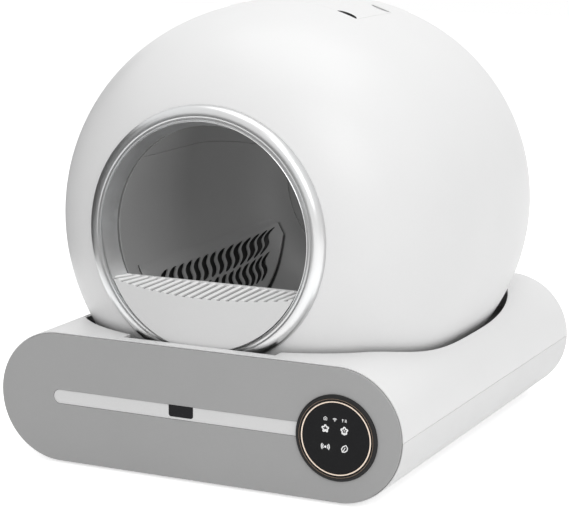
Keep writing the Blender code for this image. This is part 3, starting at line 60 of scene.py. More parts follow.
class Socket:
    """One output of a material's node. Arithmetic on it adds the Math nodes that work the result out."""

    def __init__(self, finish, output):
        self.finish = finish
        self.output = output

    def math(self, operation, *values):
        return self.finish.node("ShaderNodeMath", {"operation": operation}, dict(enumerate(values)))

    def __add__(self, other):
        return self.math("ADD", self, other)

    __radd__ = __add__

    def __mul__(self, other):
        return self.math("MULTIPLY", self, other)

    __rmul__ = __mul__

    def __sub__(self, other):
        return self.math("SUBTRACT", self, other)

    def __rsub__(self, other):
        return self.math("SUBTRACT", other, self)

    def __truediv__(self, other):
        return self.math("DIVIDE", self, other)

    def __pow__(self, power):
        return self.math("POWER", self, power)

    def largest(self, other):
        return self.math("MAXIMUM", self, other)

    def ramp(self, low, high):
        """Rises from 0 to 1 as this value goes from low to high."""
        sockets = {"Value": self, "From Min": low, "From Max": high}
        return self.finish.node("ShaderNodeMapRange", {"interpolation_type": "SMOOTHSTEP"}, sockets)

    def other(self, name):
        """Another output of the same node."""
        return Socket(self.finish, self.output.node.outputs[name])


class Finish:
    """A node tree under construction: the surface of one or more pieces."""

    def __init__(self, tree):
        self.tree = tree
        self.shader = tree.nodes.get("Principled BSDF")

    def node(self, kind, settings, sockets, output=0):
        """Adds a node of a kind, makes its settings, then fills its sockets with values or links."""
        node = self.tree.nodes.new(kind)
        for name, value in settings.items():
            setattr(node, name, value)
        for key, value in sockets.items():
            self.fill(node.inputs[key], value)
        return Socket(self, node.outputs[output])

    def fill(self, socket, value):
        if isinstance(value, Socket):
            self.tree.links.new(value.output, socket)
        else:
            socket.default_value = value

    def surface(self, values):
        """Fills the sockets of the finish's own shader."""
        for name, value in values.items():
            self.fill(self.shader.inputs[name], value)

    def place(self):
        return self.node("ShaderNodeTexCoord", {}, {}, "Object")

    def noise(self, scale, detail=2.0, place=None):
        """Soft cloudy noise, from 0 to 1, with so many waves to a metre."""
        sockets = {"Vector": place or self.place(), "Scale": scale, "Detail": detail}
        return self.node("ShaderNodeTexNoise", {}, sockets, "Fac")

    def blend(self, share, one, two):
        """Goes from one colour to the other as the share goes from 0 to 1."""
        return self.node("ShaderNodeMix", {"data_type": "RGBA"}, {0: share, 6: one, 7: two}, 2)

    def bump(self, height, depth, strength=1.0, below=None):
        """A normal that follows a height, whose full range is a depth in metres."""
        sockets = {"Height": height, "Distance": depth, "Strength": strength}
        if below:
            sockets["Normal"] = below
        return self.node("ShaderNodeBump", {}, sockets, "Normal")


def finish_named(name):
    """A new material and the finish that builds it."""
    made = bpy.data.materials.new(name)
    made.use_nodes = True
    return made, Finish(made.node_tree)


def grey(level):
    return (level, level, level, 1)


def tone(red, green, blue):
    return (red, green, blue, 1)


def nothing_selected():
    """Object mode with nothing selected, so that the next operator touches only what it makes."""
    if bpy.context.mode != "OBJECT":
        bpy.ops.object.mode_set(mode="OBJECT")
    bpy.ops.object.select_all(action="DESELECT")


def looked_at(finish):
    """1 for what the camera sees, also in gloss or through glass, and 0 for light on a surface."""
    path = finish.node("ShaderNodeLightPath", {}, {}, "Is Camera Ray")
    return path.largest(path.other("Is Glossy Ray")).largest(path.other("Is Transmission Ray"))


def studio_floor():
    """A plain pale floor, which looks as white as the room, apart from the shadows on it."""
    nothing_selected()
    bpy.ops.mesh.primitive_plane_add(size=FLOOR_SIZE, location=(0, 0, 0))
    floor = bpy.context.object
    floor.name = "studio_floor"
    made, finish = finish_named("studio_floor")
    mottle = finish.noise(3, 3)
    finish.surface({"Base Color": finish.blend(mottle, grey(0.80), grey(0.84)), "Roughness": 0.9})
    strength = FLOOR_GLOW * BACKDROP_WHITE * looked_at(finish)
    glow = finish.node("ShaderNodeEmission", {}, {"Color": grey(1), "Strength": strength}, 0)
    both = finish.node("ShaderNodeAddShader", {}, {0: glow, 1: Socket(finish, finish.shader.outputs[0])})
    finish.fill(made.node_tree.nodes["Material Output"].inputs["Surface"], both)
    floor.data.materials.append(made)


def studio_room():
    """A white room for the camera and for gloss, which lights the object more weakly than it looks."""
    room = bpy.data.worlds.new("studio_room")
    room.use_nodes = True
    bpy.context.scene.world = room
    finish = Finish(room.node_tree)
    background = room.node_tree.nodes["Background"]
    finish.fill(background.inputs["Color"], grey(1))
    strength = ROOM_LIGHT + (BACKDROP_WHITE - ROOM_LIGHT) * looked_at(finish)
    finish.fill(background.inputs["Strength"], strength)


def studio_lamp(name, place, aim, size, power):
    """A square soft lamp that faces a point."""
    nothing_selected()
    bpy.ops.object.light_add(type="AREA", location=place)
    lamp = bpy.context.object
    lamp.name = name
    lamp.data.shape = "SQUARE"
    lamp.data.size = size
    lamp.data.energy = power
    lamp.rotation_euler = (Vector(aim) - Vector(place)).to_track_quat("-Z", "Y").to_euler()


def studio_card(name, place, size, turn, level):
    """A standing matt card that shows only in gloss, so that bright metal has something dark to reflect."""
    nothing_selected()
    bpy.ops.mesh.primitive_plane_add(size=1, location=place, rotation=(math.pi / 2, 0, turn))
    card = bpy.context.object
    card.name = name
    card.scale = (*size, 1)
    made, finish = finish_named(name)
    mottle = finish.noise(4, 2)
    finish.surface({"Base Color": finish.blend(mottle, grey(level), grey(level * 1.1)), "Roughness": 1.0})
    card.data.materials.append(made)
    card.visible_camera = card.visible_diffuse = card.visible_shadow = False


nothing_selected()
bpy.ops.object.camera_add(location=CAMERA_PLACE, rotation=(math.pi / 2 - CAMERA_TILT, 0, CAMERA_TURN))
camera = bpy.context.object
camera.data.sensor_width = CAMERA_SENSOR
camera.data.lens = CAMERA_LENS
camera.data.shift_x, camera.data.shift_y = CAMERA_SHIFT
bpy.context.scene.camera = camera
bpy.context.scene.view_settings.view_transform = "Standard"
studio_floor()
studio_room()
studio_lamp("lamp_right_front", (2.2, -2.4, 2.4), (0, 0, 0.25), 2.2, 37)
studio_lamp("lamp_above", (0.2, 0.1, 3.0), (0, 0, 0.3), 2.6, 22)
studio_lamp("lamp_inside", (0.02, -0.155, 0.452), (-0.14, 0.06, 0.15), 0.09, 0.55)
studio_card("card_left", (-0.95, -0.20, 0.42), (1.7, 0.84), math.radians(90), 0.10)
studio_card("card_front_left", (-0.55, -1.30, 0.30), (1.1, 0.60), math.radians(-35), 0.22)

# Lower base shell. The real one is a shallow tray of white ABS, 3 mm thick, moulded in one piece with round
# sides. Its front edge is stepped down to a thin rim round the drawer panel, and four screw holes pierce it.
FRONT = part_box("drawer_front")[0].y
SEAM_GAP = 0.0004
TOUCH_GAP = 0.0003
tray_low, tray_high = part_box("base_lower_shell")
SEAM_HEIGHT = tray_high.z + SEAM_GAP / 2
SIDE_RADIUS = SEAM_HEIGHT - tray_low.z
SIDE_CENTRE = tray_high.x - SIDE_RADIUS
SHELL_FRONT = tray_low.y
SHELL_BACK = tray_high.y
SHELL_WALL = 0.003
RIM_WIDTH = 0.0012
PANEL_SEAT = FRONT + 0.0124
SIDE_STEPS = 40
CORNER_STEPS = 8
SHELL_EDGE = 0.0005
OVERRUN = 0.010
WELD = 0.000005
SCREW_HOLE_RADIUS = 0.0023
SCREW_OFFSET = 0.180
SCREW_PLACES = (FRONT + 0.060, FRONT + 0.560)


def arc(centre, radius, start, end, steps):
    """Points along an arc, as (across, up)."""
    turns = [start + (end - start) * i / steps for i in range(steps + 1)]
    return [(centre[0] + radius * math.cos(turn), centre[1] + radius * math.sin(turn)) for turn in turns]


def only(piece):
    """Selects one piece alone and makes it the active one."""
    nothing_selected()
    piece.select_set(True)
    bpy.context.view_layer.objects.active = piece


def edit_all(piece):
    """Opens one piece in edit mode, with all of it selected."""
    only(piece)
    bpy.ops.object.mode_set(mode="EDIT")
    bpy.ops.mesh.select_all(action="SELECT")


def turn_outwards():
    """Turns the faces of the piece in edit mode outwards, and leaves edit mode."""
    bpy.ops.mesh.select_all(action="SELECT")
    bpy.ops.mesh.normals_make_consistent(inside=False)
    nothing_selected()


def trace(name, points, closed=True):
    """Draws a line of edges through points, from a plane that is merged into its first one."""
    nothing_selected()
    bpy.ops.mesh.primitive_plane_add(size=OVERRUN, enter_editmode=True, location=(0, 0, 0))
    piece = bpy.context.object
    piece.name = name
    bpy.ops.mesh.select_mode(type="VERT")
    bpy.ops.mesh.select_all(action="SELECT")
    bpy.ops.mesh.merge(type="CENTER")
    points = [Vector(point) for point in points]
    bpy.ops.transform.translate(value=points[0])
    for here, there in zip(points, points[1:]):
        bpy.ops.mesh.extrude_vertices_move(TRANSFORM_OT_translate={"value": there - here})
    if closed:
        shape = bmesh.from_edit_mesh(piece.data)
        shape.verts.ensure_lookup_table()
        shape.verts[0].select_set(True)
        bmesh.update_edit_mesh(piece.data)
        bpy.ops.mesh.edge_face_add()
    bpy.ops.mesh.select_all(action="SELECT")
    return piece


def pulled(name, points, move):
    """A flat outline, filled and pulled out by a step."""
    piece = trace(name, points)
    bpy.ops.mesh.edge_face_add()
    bpy.ops.mesh.extrude_region_move(TRANSFORM_OT_translate={"value": move})
    turn_outwards()
    return piece


def extruded(name, outline, front, back):
    """A flat outline, given as (across, up), filled and pulled back along Y."""
    return pulled(name, [(across, front, up) for across, up in outline], (0, back - front, 0))


def block(name, low, high, corner=0.0):
    """A box between two corners, with its upright edges rounded."""
    low, high = Vector(low), Vector(high)
    nothing_selected()
    bpy.ops.mesh.primitive_cube_add(size=1, enter_editmode=True, location=(0, 0, 0))
    piece = bpy.context.object
    piece.name = name
    bpy.ops.transform.resize(value=high - low)
    bpy.ops.transform.translate(value=(low + high) / 2)
    if corner:
        pick_upright(piece)
        bpy.ops.mesh.bevel(offset=corner, offset_type="OFFSET", segments=CORNER_STEPS)
    nothing_selected()
    return piece


def pick_upright(piece):
    """In edit mode, selects the edges that run up and down."""
    bpy.ops.mesh.select_mode(type="EDGE")
    bpy.ops.mesh.select_all(action="DESELECT")
    shape = bmesh.from_edit_mesh(piece.data)
    for edge in shape.edges:
        one, two = (vertex.co for vertex in edge.verts)
        run = two - one
        edge.select_set(abs(run.z) > abs(run.y) + abs(run.x))
    shape.select_flush_mode()
    bmesh.update_edit_mesh(piece.data)


def drill(name, radius, low, high, axis="Z", steps=32):
    """A cylinder that runs from one point to another along an axis, to cut with."""
    low, high = Vector(low), Vector(high)
    turn = {"Y": (math.pi / 2, 0, 0), "Z": (0, 0, 0)}[axis]
    nothing_selected()
    bpy.ops.mesh.primitive_cylinder_add(
        vertices=steps, radius=radius, depth=(high - low).length, location=(low + high) / 2, rotation=turn
    )
    bpy.context.object.name = name
    bpy.ops.object.transform_apply(location=True, rotation=True, scale=True)
    return bpy.context.object


def modify(piece, kind, settings):
    """Adds one modifier to a piece and applies it."""
    only(piece)
    bpy.ops.object.modifier_add(type=kind)
    modifier = piece.modifiers[-1]
    for name, value in settings.items():
        setattr(modifier, name, value)
    bpy.ops.object.modifier_apply(modifier=modifier.name)


def combine(piece, other, operation="DIFFERENCE"):
    """Cuts, joins or trims a piece with another one, which is then removed."""
    modify(piece, "BOOLEAN", {"object": other, "operation": operation, "solver": "EXACT"})
    bpy.data.objects.remove(other)


def soften(piece, width, segments=2, angle=math.radians(28)):
    """Rounds the sharp edges of a piece and evens its shading."""
    settings = {"width": width, "segments": segments, "limit_method": "ANGLE", "angle_limit": angle}
    modify(piece, "BEVEL", {**settings, "offset_type": "OFFSET", "use_clamp_overlap": True})
    smooth(piece)


def smooth(piece, angle=math.radians(35)):
    """Smooth shading over all but the sharp edges, with the flat faces kept flat."""
    only(piece)
    bpy.ops.object.shade_smooth_by_angle(angle=angle)
    modify(piece, "WEIGHTED_NORMAL", {"keep_sharp": True})


def coat(piece, finish):
    """Gives a piece, or a node that shows as it is, one finish all over."""
    piece.data.materials.clear()
    piece.data.materials.append(finish)


def done(piece, body, finish, slot, *nodes):
    """Gives a piece its finish and its body, and hides the nodes that it stands for."""
    coat(piece, finish)
    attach(piece, body)
    if nodes:
        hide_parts(*nodes)


def moulded(name, colour, roughness, grain=1500, grain_depth=0.00003, mottle=0.03, ior=1.49, painted_shade=None):
    """Moulded plastic: a fine even grain from the tool, faint flow shades and a slightly uneven gloss.
    Where the given shade function says so, painted shade darkens the colour towards its grey."""
    made, finish = finish_named(name)
    place = finish.place()
    cloud = finish.noise(7, 3, place)
    speck = finish.noise(320, 2, place)
    shade = (cloud * 0.7 + speck * 0.3).ramp(0.3, 0.7)
    darker = tuple(part * (1 - mottle) for part in colour[:3]) + (1,)
    flow = finish.noise(22, 4, place)
    fine = finish.noise(grain, 2, place)
    wave = finish.bump(flow, 0.0004, 0.25)
    clean = finish.blend(shade, darker, colour)
    # Painted shade: where asked, the colour is blended towards a dark grey that stands in for shade.
    if painted_shade:
        share, level = painted_shade(finish, place)
        clean = finish.blend(share, clean, grey(level))
    finish.surface({
        "Base Color": clean,
        "Roughness": roughness - 0.05 + 0.07 * flow + 0.05 * fine,
        "Normal": finish.bump(fine, grain_depth, 0.6, wave),
        "IOR": ior,
    })
    return made


def half_channel(side):
    """Section of one base shell: side is 1 for the upper one and -1 for the lower one."""
    quarter = side * math.pi / 2
    seam = SEAM_HEIGHT + side * SEAM_GAP / 2
    line = []
    for radius, order in ((SIDE_RADIUS, 1), (SIDE_RADIUS - SHELL_WALL, -1)):
        half = arc((SIDE_CENTRE, SEAM_HEIGHT), radius, 0, quarter, SIDE_STEPS)
        half += arc((-SIDE_CENTRE, SEAM_HEIGHT), radius, quarter, 2 * quarter, SIDE_STEPS)
        line += half[::order]
    return [(x, max(z, seam) if side > 0 else min(z, seam)) for x, z in line]


def round_ended(inset):
    """The base's whole outline, drawn in by an inset."""
    radius = SIDE_RADIUS - inset
    right = arc((SIDE_CENTRE, SEAM_HEIGHT), radius, -math.pi / 2, math.pi / 2, 2 * SIDE_STEPS)
    left = arc((-SIDE_CENTRE, SEAM_HEIGHT), radius, math.pi / 2, 3 * math.pi / 2, 2 * SIDE_STEPS)
    return right + left


white_base = moulded("white_base", grey(0.80), 0.40)
lower_shell = extruded("lower_shell", half_channel(-1), SHELL_FRONT, SHELL_BACK)
for across in (-SCREW_OFFSET, SCREW_OFFSET):
    for back in SCREW_PLACES:
        hole_ends = (across, back, 0), (across, back, tray_low.z + OVERRUN)
        combine(lower_shell, drill("screw_hole", SCREW_HOLE_RADIUS, *hole_ends))
combine(lower_shell, extruded("panel_rebate", round_ended(RIM_WIDTH), FRONT - OVERRUN, PANEL_SEAT))
soften(lower_shell, SHELL_EDGE)
done(lower_shell, "base", white_base, "white_base", "base_lower_shell")

# Rubber feet. Four round pads of soft dark rubber are glued under the tray, each with a rounded edge and two
# shallow grip rings in its sole.
FOOT_STEPS = 64
FOOT_RIM = 0.0008
GRIP_RADII_SHARE = (0.42, 0.70)
GRIP_HALF_WIDTH = 0.0006
GRIP_DEPTH = 0.0005


def spun(steps, angle, centre, direction):
    """Spins what is selected in edit mode about an axis, welds the seam and leaves edit mode."""
    bpy.ops.mesh.spin(steps=steps, angle=angle, center=centre, axis=direction)
    bpy.ops.mesh.select_all(action="SELECT")
    bpy.ops.mesh.remove_doubles(threshold=WELD)
    turn_outwards()


def turned(name, line, centre, axis="Y", steps=192, closed=True):
    """A line of (radius, place along the axis) points, spun all round an axis through a centre."""
    if axis == "Y":
        points = [(centre[0] + radius, along, centre[2]) for radius, along in line]
    else:
        points = [(centre[0] + radius, centre[1], along) for radius, along in line]
    piece = trace(name, points, closed)
    spun(steps, math.tau, centre, (0, 1, 0) if axis == "Y" else (0, 0, 1))
    return piece


def copied(piece, name, move):
    """A copy of a piece with its own mesh, moved by a step."""
    only(piece)
    bpy.ops.object.duplicate()
    twin = bpy.context.object
    twin.name = name
    bpy.ops.transform.translate(value=move)
    bpy.ops.object.transform_apply(location=True, rotation=False, scale=False)
    return twin


def rubber(name, level):
    """Soft matt rubber with fine dust in its pores."""
    made, finish = finish_named(name)
    place = finish.place()
    dust = finish.noise(180, 4, place).ramp(0.55, 0.75)
    pores = finish.noise(2600, 2, place)
    finish.surface({
        "Base Color": finish.blend(dust * 0.5, grey(level), grey(level * 1.8)),
        "Roughness": 0.78 + 0.12 * pores,
        "Normal": finish.bump(pores, 0.00004, 0.8),
    })
    return made


def foot_profile(low, high, radius):
    """Half section of a pad: a flat top, a rounded rim and two grip rings in the sole."""
    line = [(0, high), (radius, high)]
    line += arc((radius - FOOT_RIM, low + FOOT_RIM), FOOT_RIM, 0, -math.pi / 2, 5)
    for share in reversed(GRIP_RADII_SHARE):
        middle = radius * share
        line += [(middle + GRIP_HALF_WIDTH, low), (middle + GRIP_HALF_WIDTH / 2, low + GRIP_DEPTH)]
        line += [(middle - GRIP_HALF_WIDTH / 2, low + GRIP_DEPTH), (middle - GRIP_HALF_WIDTH, low)]
    return line + [(0, low)]


foot_rubber = rubber("foot_rubber", 0.09)
FOOT_NODES = ("foot_front_left", "foot_front_right", "foot_back_left", "foot_back_right")
first_low, first_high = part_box(FOOT_NODES[0])
first_middle = (first_low + first_high) / 2
foot_line = foot_profile(first_low.z, first_high.z, (first_high.x - first_low.x) / 2)
first_foot = turned("pad_front_left", foot_line, first_middle, "Z", FOOT_STEPS, closed=False)
smooth(first_foot)
for node in FOOT_NODES[1:]:
    low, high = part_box(node)
    pad = copied(first_foot, node.replace("foot", "pad"), (low + high) / 2 - first_middle)
    done(pad, "base", foot_rubber, "rubber", node)
done(first_foot, "base", foot_rubber, "rubber", FOOT_NODES[0])

# Base screws. Zinc-plated pan-head screws go up through the tray into the corner legs of the inner frame.
# Each head is domed and has a cross recess.
SCREW_NODES = [node.replace("foot", "base_screw") for node in FOOT_NODES]
SHANK_RADIUS = 0.0019
HEAD_RIM = 0.0005
HEAD_TURNS = (math.radians(25), math.radians(50), math.radians(75))
RECESS_LENGTH = 0.0050
RECESS_WIDTH = 0.0011
RECESS_DEPTH = 0.0010


def metal(name, colour, roughness, scratch=900, stretch=(1, 1, 1)):
    """Bare or plated metal, with fine lines along one direction and a slightly cloudy gloss."""
    made, finish = finish_named(name)
    place = finish.place()
    run = finish.node("ShaderNodeVectorMath", {"operation": "MULTIPLY"}, {0: place, 1: stretch})
    line = finish.noise(scratch, 3, run)
    cloud = finish.noise(30, 3, place)
    darker = tuple(part * 0.86 for part in colour[:3]) + (1,)
    finish.surface({
        "Base Color": finish.blend(cloud, darker, colour),
        "Metallic": 1.0,
        "Roughness": roughness - 0.06 + 0.10 * cloud + 0.08 * line,
        "Normal": finish.bump(line, 0.00001, 0.5),
    })
    return made


zinc = metal("zinc_plate", tone(0.60, 0.60, 0.62), 0.32, 1400)
low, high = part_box(SCREW_NODES[0])
head_top = low.z
head_under = tray_low.z - TOUCH_GAP
head_radius = (high.x - low.x) / 2
first_place = (low + high) / 2
head_line = [(0, high.z), (SHANK_RADIUS * 0.6, high.z), (SHANK_RADIUS, high.z - SHANK_RADIUS)]
head_line += [(SHANK_RADIUS, head_under), (head_radius, head_under), (head_radius, head_under - HEAD_RIM)]
for turn in HEAD_TURNS:
    dome = head_top + (head_under - HEAD_RIM - head_top) * (1 - math.sin(turn))
    head_line.append((head_radius * math.cos(turn), dome))
head_line.append((0, head_top))
first_screw = turned("screw_front_left", head_line, first_place, "Z", 48, closed=False)
for length, width in ((RECESS_LENGTH, RECESS_WIDTH), (RECESS_WIDTH, RECESS_LENGTH)):
    reach = Vector((length / 2, width / 2, RECESS_DEPTH))
    middle = Vector((first_place.x, first_place.y, head_top))
    combine(first_screw, block("screw_recess", middle - reach, middle + reach))
soften(first_screw, 0.0001, 1)
for node in SCREW_NODES[1:]:
    low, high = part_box(node)
    screw = copied(first_screw, node.replace("base_", ""), (low + high) / 2 - first_place)
    done(screw, "base", zinc, "steel", node)
done(first_screw, "base", zinc, "steel", SCREW_NODES[0])

# Inner frame and drawer rails. The frame is one grey glass-filled moulding: a plate that the globe stands on,
# legs down to the tray and lugs for the roller shafts. The rails are grey strips clipped to the tray.
frame_grey = moulded("frame_grey", grey(0.21), 0.52, 900, 0.00006, 0.08)
for node in ("cradle_frame", "drawer_rail_left", "drawer_rail_right"):
    coat(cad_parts[node], frame_grey)

# Roller sets. Two plain steel shafts run along the drum, each with two rubber tyres pressed on, which carry
# the drum and turn with it.
TYRE_BORE_RADIUS = 0.0043
TYRE_EDGE = 0.0015
TYRE_GROOVES = (0.35, 0.5, 0.65)
TYRE_GROOVE_HALF_WIDTH = 0.0006
TYRE_GROOVE_DEPTH = 0.0005


def tyre_profile(low, high, radius):
    """Section of one tyre: a plain bore, rounded edges and three fine grooves in its tread."""
    shoulder = radius - TYRE_EDGE
    line = [(TYRE_BORE_RADIUS, high), (TYRE_BORE_RADIUS, low)]
    for y, z in arc((0, 0), TYRE_EDGE, math.pi, math.pi / 2, 4):
        line.append((shoulder + z, low + TYRE_EDGE + y))
    for groove in TYRE_GROOVES:
        middle = low + (high - low) * groove
        line += [(radius, middle - TYRE_GROOVE_HALF_WIDTH), (radius - TYRE_GROOVE_DEPTH, middle)]
        line.append((radius, middle + TYRE_GROOVE_HALF_WIDTH))
    for y, z in arc((0, 0), TYRE_EDGE, math.pi / 2, 0, 4):
        line.append((shoulder + z, high - TYRE_EDGE + y))
    return line


shaft_steel = metal("shaft_steel", tone(0.58, 0.58, 0.60), 0.26, 2200, (1, 0.02, 1))
tyre_rubber = rubber("tyre_rubber", 0.05)
for side in ("left", "right"):
    coat(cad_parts["roller_shaft_" + side], shaft_steel)
    for end in ("front", "back"):
        node = f"roller_{side}_{end}"
        low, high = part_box(node)
        tyre_line = tyre_profile(low.y, high.y, (high.x - low.x) / 2)
        tyre = turned(f"tyre_{side}_{end}", tyre_line, (low + high) / 2, "Y", 64)
        smooth(tyre)
        done(tyre, "roller_set_" + side, tyre_rubber, "rubber", node)

# Rear panel and power inlet. A flat white plate closes the back between the two shells. A round black
# low-voltage inlet with a centre pin is snapped into it, low down at the left as seen from the front.
back_low, back_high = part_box("rear_panel")
jack_low, jack_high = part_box("power_jack")
jack_centre = (jack_low + jack_high) / 2
JACK_RADIUS = 0.006
JACK_BORE_RADIUS = 0.003
JACK_PIN_RADIUS = 0.001
JACK_FLANGE_THICKNESS = 0.0015
JACK_FLOOR = 0.002
JACK_EDGE = 0.0006
JACK_BORE_EDGE = 0.0004
rear_plate = extruded("rear_plate", round_ended(SHELL_WALL + TOUCH_GAP), back_low.y, back_high.y)
hole_low = (jack_centre.x, back_low.y - OVERRUN, jack_centre.z)
hole_high = (jack_centre.x, back_high.y + OVERRUN, jack_centre.z)
combine(rear_plate, drill("jack_hole", JACK_RADIUS + TOUCH_GAP, hole_low, hole_high, axis="Y", steps=48))
soften(rear_plate, SHELL_EDGE)
done(rear_plate, "base", white_base, "white_base", "rear_panel")
flange_radius = (jack_high.x - jack_low.x) / 2
flange_front = jack_high.y - JACK_FLANGE_THICKNESS
jack_line = [
    (0, jack_low.y),
    (JACK_RADIUS, jack_low.y),
    (JACK_RADIUS, flange_front),
    (flange_radius, flange_front),
    (flange_radius, jack_high.y - JACK_EDGE),
    (flange_radius - JACK_EDGE, jack_high.y),
    (JACK_BORE_RADIUS + JACK_BORE_EDGE, jack_high.y),
    (JACK_BORE_RADIUS, jack_high.y - JACK_BORE_EDGE),
    (JACK_BORE_RADIUS, jack_low.y + JACK_FLOOR),
    (JACK_PIN_RADIUS, jack_low.y + JACK_FLOOR),
    (JACK_PIN_RADIUS, flange_front - JACK_EDGE),
    (JACK_PIN_RADIUS / 2, flange_front),
    (0, flange_front),
]
inlet_black = moulded("inlet_black", grey(0.02), 0.35, 1800, 0.00002)
power_inlet = turned("power_inlet", jack_line, jack_centre, "Y", 64, closed=False)
smooth(power_inlet)
done(power_inlet, "base", inlet_black, "black_gloss", "power_jack")

# Upper base shell. Its top is the white deck round the globe, open to the globe's own shape with a shadow
# gap all round, and notched in front where the entry ring and the step come down into it.
AXIS_HEIGHT = 0.2952
AXIS = Vector((0, 0, AXIS_HEIGHT))
GLOBE_RADIUS = 0.2766
GLOBE_WALL = 0.003
BELLY_DEPTH = 0.3133
GLOBE_FRONT_REACH = 0.296
GLOBE_BACK_REACH = 0.339
FRONT_FULLNESS = 3.39
FRONT_ROUNDNESS = 2.65
BACK_FULLNESS = 2.65
BACK_ROUNDNESS = 2.16
PARTING_DEPTH = 0.525
SHOULDER_DEPTH = 0.580
END_DEPTH = 0.589
END_RADIUS = 0.180
RING_RADIUS = 0.159
OPENING_GAP = 0.008
OPENING_BACK_GAP = 0.003
RING_SLOT_HALF_WIDTH = 0.104
RING_SLOT_DEPTHS = (0.0165, 0.110)


def globe_radius(depth):
    """The globe's outer radius at a depth behind the front panel's face."""
    if depth < BELLY_DEPTH:
        share = (BELLY_DEPTH - depth) / GLOBE_FRONT_REACH
        return GLOBE_RADIUS * max(0, 1 - share**FRONT_FULLNESS) ** (1 / FRONT_ROUNDNESS)
    share = (depth - BELLY_DEPTH) / GLOBE_BACK_REACH
    return GLOBE_RADIUS * max(0, 1 - share**BACK_FULLNESS) ** (1 / BACK_ROUNDNESS)


def front_edge_depth(radius):
    """Depth at which the globe's front has grown to a radius."""
    share = (1 - (radius / GLOBE_RADIUS) ** FRONT_ROUNDNESS) ** (1 / FRONT_FULLNESS)
    return BELLY_DEPTH - GLOBE_FRONT_REACH * share


def spread(start, end, count):
    """Evenly spaced values, both ends included."""
    return [start + (end - start) * i / (count - 1) for i in range(count)]


def globe_line(start, end, count):
    """Points along the globe's outer face, closer together near its front."""
    first = math.acos((BELLY_DEPTH - start) / GLOBE_FRONT_REACH)
    last = math.pi - math.acos((end - BELLY_DEPTH) / GLOBE_BACK_REACH)
    line = []
    for turn in spread(first, last, count):
        reach = GLOBE_FRONT_REACH if turn < math.pi / 2 else GLOBE_BACK_REACH
        depth = BELLY_DEPTH - reach * math.cos(turn)
        line.append((globe_radius(depth), FRONT + depth))
    return line


def offset_line(points, distance):
    """A profile line moved square to itself, towards the axis for a positive distance."""
    moved = []
    for i, (radius, place) in enumerate(points):
        before, after = points[max(i - 1, 0)], points[min(i + 1, len(points) - 1)]
        along = Vector((after[0] - before[0], after[1] - before[1])).normalized()
        moved.append((radius - along.y * distance, place + along.x * distance))
    return moved


white_shell = moulded("white_shell", grey(0.84), 0.36, 1400, 0.00002, 0.02)
upper_shell = extruded("upper_shell", half_channel(1), SHELL_FRONT, SHELL_BACK)
combine(upper_shell, extruded("panel_rebate", round_ended(RIM_WIDTH), FRONT - OVERRUN, PANEL_SEAT))
deck_line = offset_line(globe_line(front_edge_depth(RING_RADIUS), SHOULDER_DEPTH, 48), -OPENING_GAP)
deck_line.append((END_RADIUS, FRONT + END_DEPTH + OPENING_BACK_GAP))
deck_line = [(0, deck_line[0][1])] + deck_line + [(0, deck_line[-1][1])]
combine(upper_shell, turned("deck_opening", deck_line, AXIS, "Y", 256, closed=False))
deck_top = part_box("base_upper_shell")[1].z
slot_low = (-RING_SLOT_HALF_WIDTH, FRONT + RING_SLOT_DEPTHS[0], deck_top - SHELL_WALL - OVERRUN)
slot_high = (RING_SLOT_HALF_WIDTH, FRONT + RING_SLOT_DEPTHS[1], deck_top + OVERRUN)
combine(upper_shell, block("ring_slot", slot_low, slot_high))
soften(upper_shell, SHELL_EDGE)
done(upper_shell, "base", white_shell, "white_shell", "base_upper_shell")

# Drum. The turning drum is two grey polypropylene halves, snapped together along a seam on either side, with
# a round mouth in front, a waste port on top and a separate back plate that carries the hub.
DRUM_RADIUS = 0.225
DRUM_WALL = 0.0025
MOUTH_DEPTH = 0.066
MOUTH_RADIUS = 0.1375
FACE_RADIUS = 0.150
CYLINDER_FRONT = 0.150
CYLINDER_BACK = 0.400
DRUM_END = 0.535
DRUM_END_RADIUS = 0.132
DRUM_SEAM_TURN = math.radians(75)
PORT_HALF_WIDTH = 0.086
PORT_DEPTHS = (0.237, 0.357)
DRUM_STEPS = 192
DOME_POINTS = 20


def back_dome(count):
    """The rounded back of the drum."""
    drop, length = DRUM_RADIUS - DRUM_END_RADIUS, DRUM_END - CYLINDER_BACK
    line = []
    for turn in spread(0, math.pi / 2, count):
        radius = DRUM_RADIUS - drop * (1 - math.cos(turn))
        line.append((radius, FRONT + CYLINDER_BACK + length * math.sin(turn)))
    return line


def drum_line(count):
    """The drum's outer line from its mouth to its back."""
    drop, length = DRUM_RADIUS - FACE_RADIUS, CYLINDER_FRONT - MOUTH_DEPTH
    line = [(MOUTH_RADIUS, FRONT + MOUTH_DEPTH)]
    for turn in spread(0, math.pi / 2, count):
        line.append((FACE_RADIUS + drop * math.sin(turn), FRONT + CYLINDER_FRONT - length * math.cos(turn)))
    return line + back_dome(count)


def seam_side(piece, turn, side):
    """Keeps the part of a piece on one side of a plane through the drum's axis, and closes the cut."""
    square = Vector((-math.cos(turn), 0, -math.sin(turn))) * side
    seam = AXIS + square * SEAM_GAP / 2
    edit_all(piece)
    bpy.ops.mesh.bisect(plane_co=seam, plane_no=square, use_fill=True, clear_inner=True, threshold=WELD)
    turn_outwards()


def from_axis(finish, place, centre):
    """How far a surface lies across, behind and above a centre, and away from the axis along Y through it."""
    across = finish.node("ShaderNodeSeparateXYZ", {}, {"Vector": place}, "X")
    back, up = across.other("Y") - centre.y, across.other("Z") - centre.z
    if centre.x:
        across = across - centre.x
    return across, back, up, (across * across + up * up) ** 0.5


SIEVE_FRONT = 0.225
SIEVE_TOP = math.radians(112)
SIEVE_SPAN = math.radians(60)
SIEVE_EDGE = -0.131
SHADE_SIDE_MARGIN = math.radians(3)
SHADE_RADII = (0.155, 0.160)
SHADE_GREY = 0.008


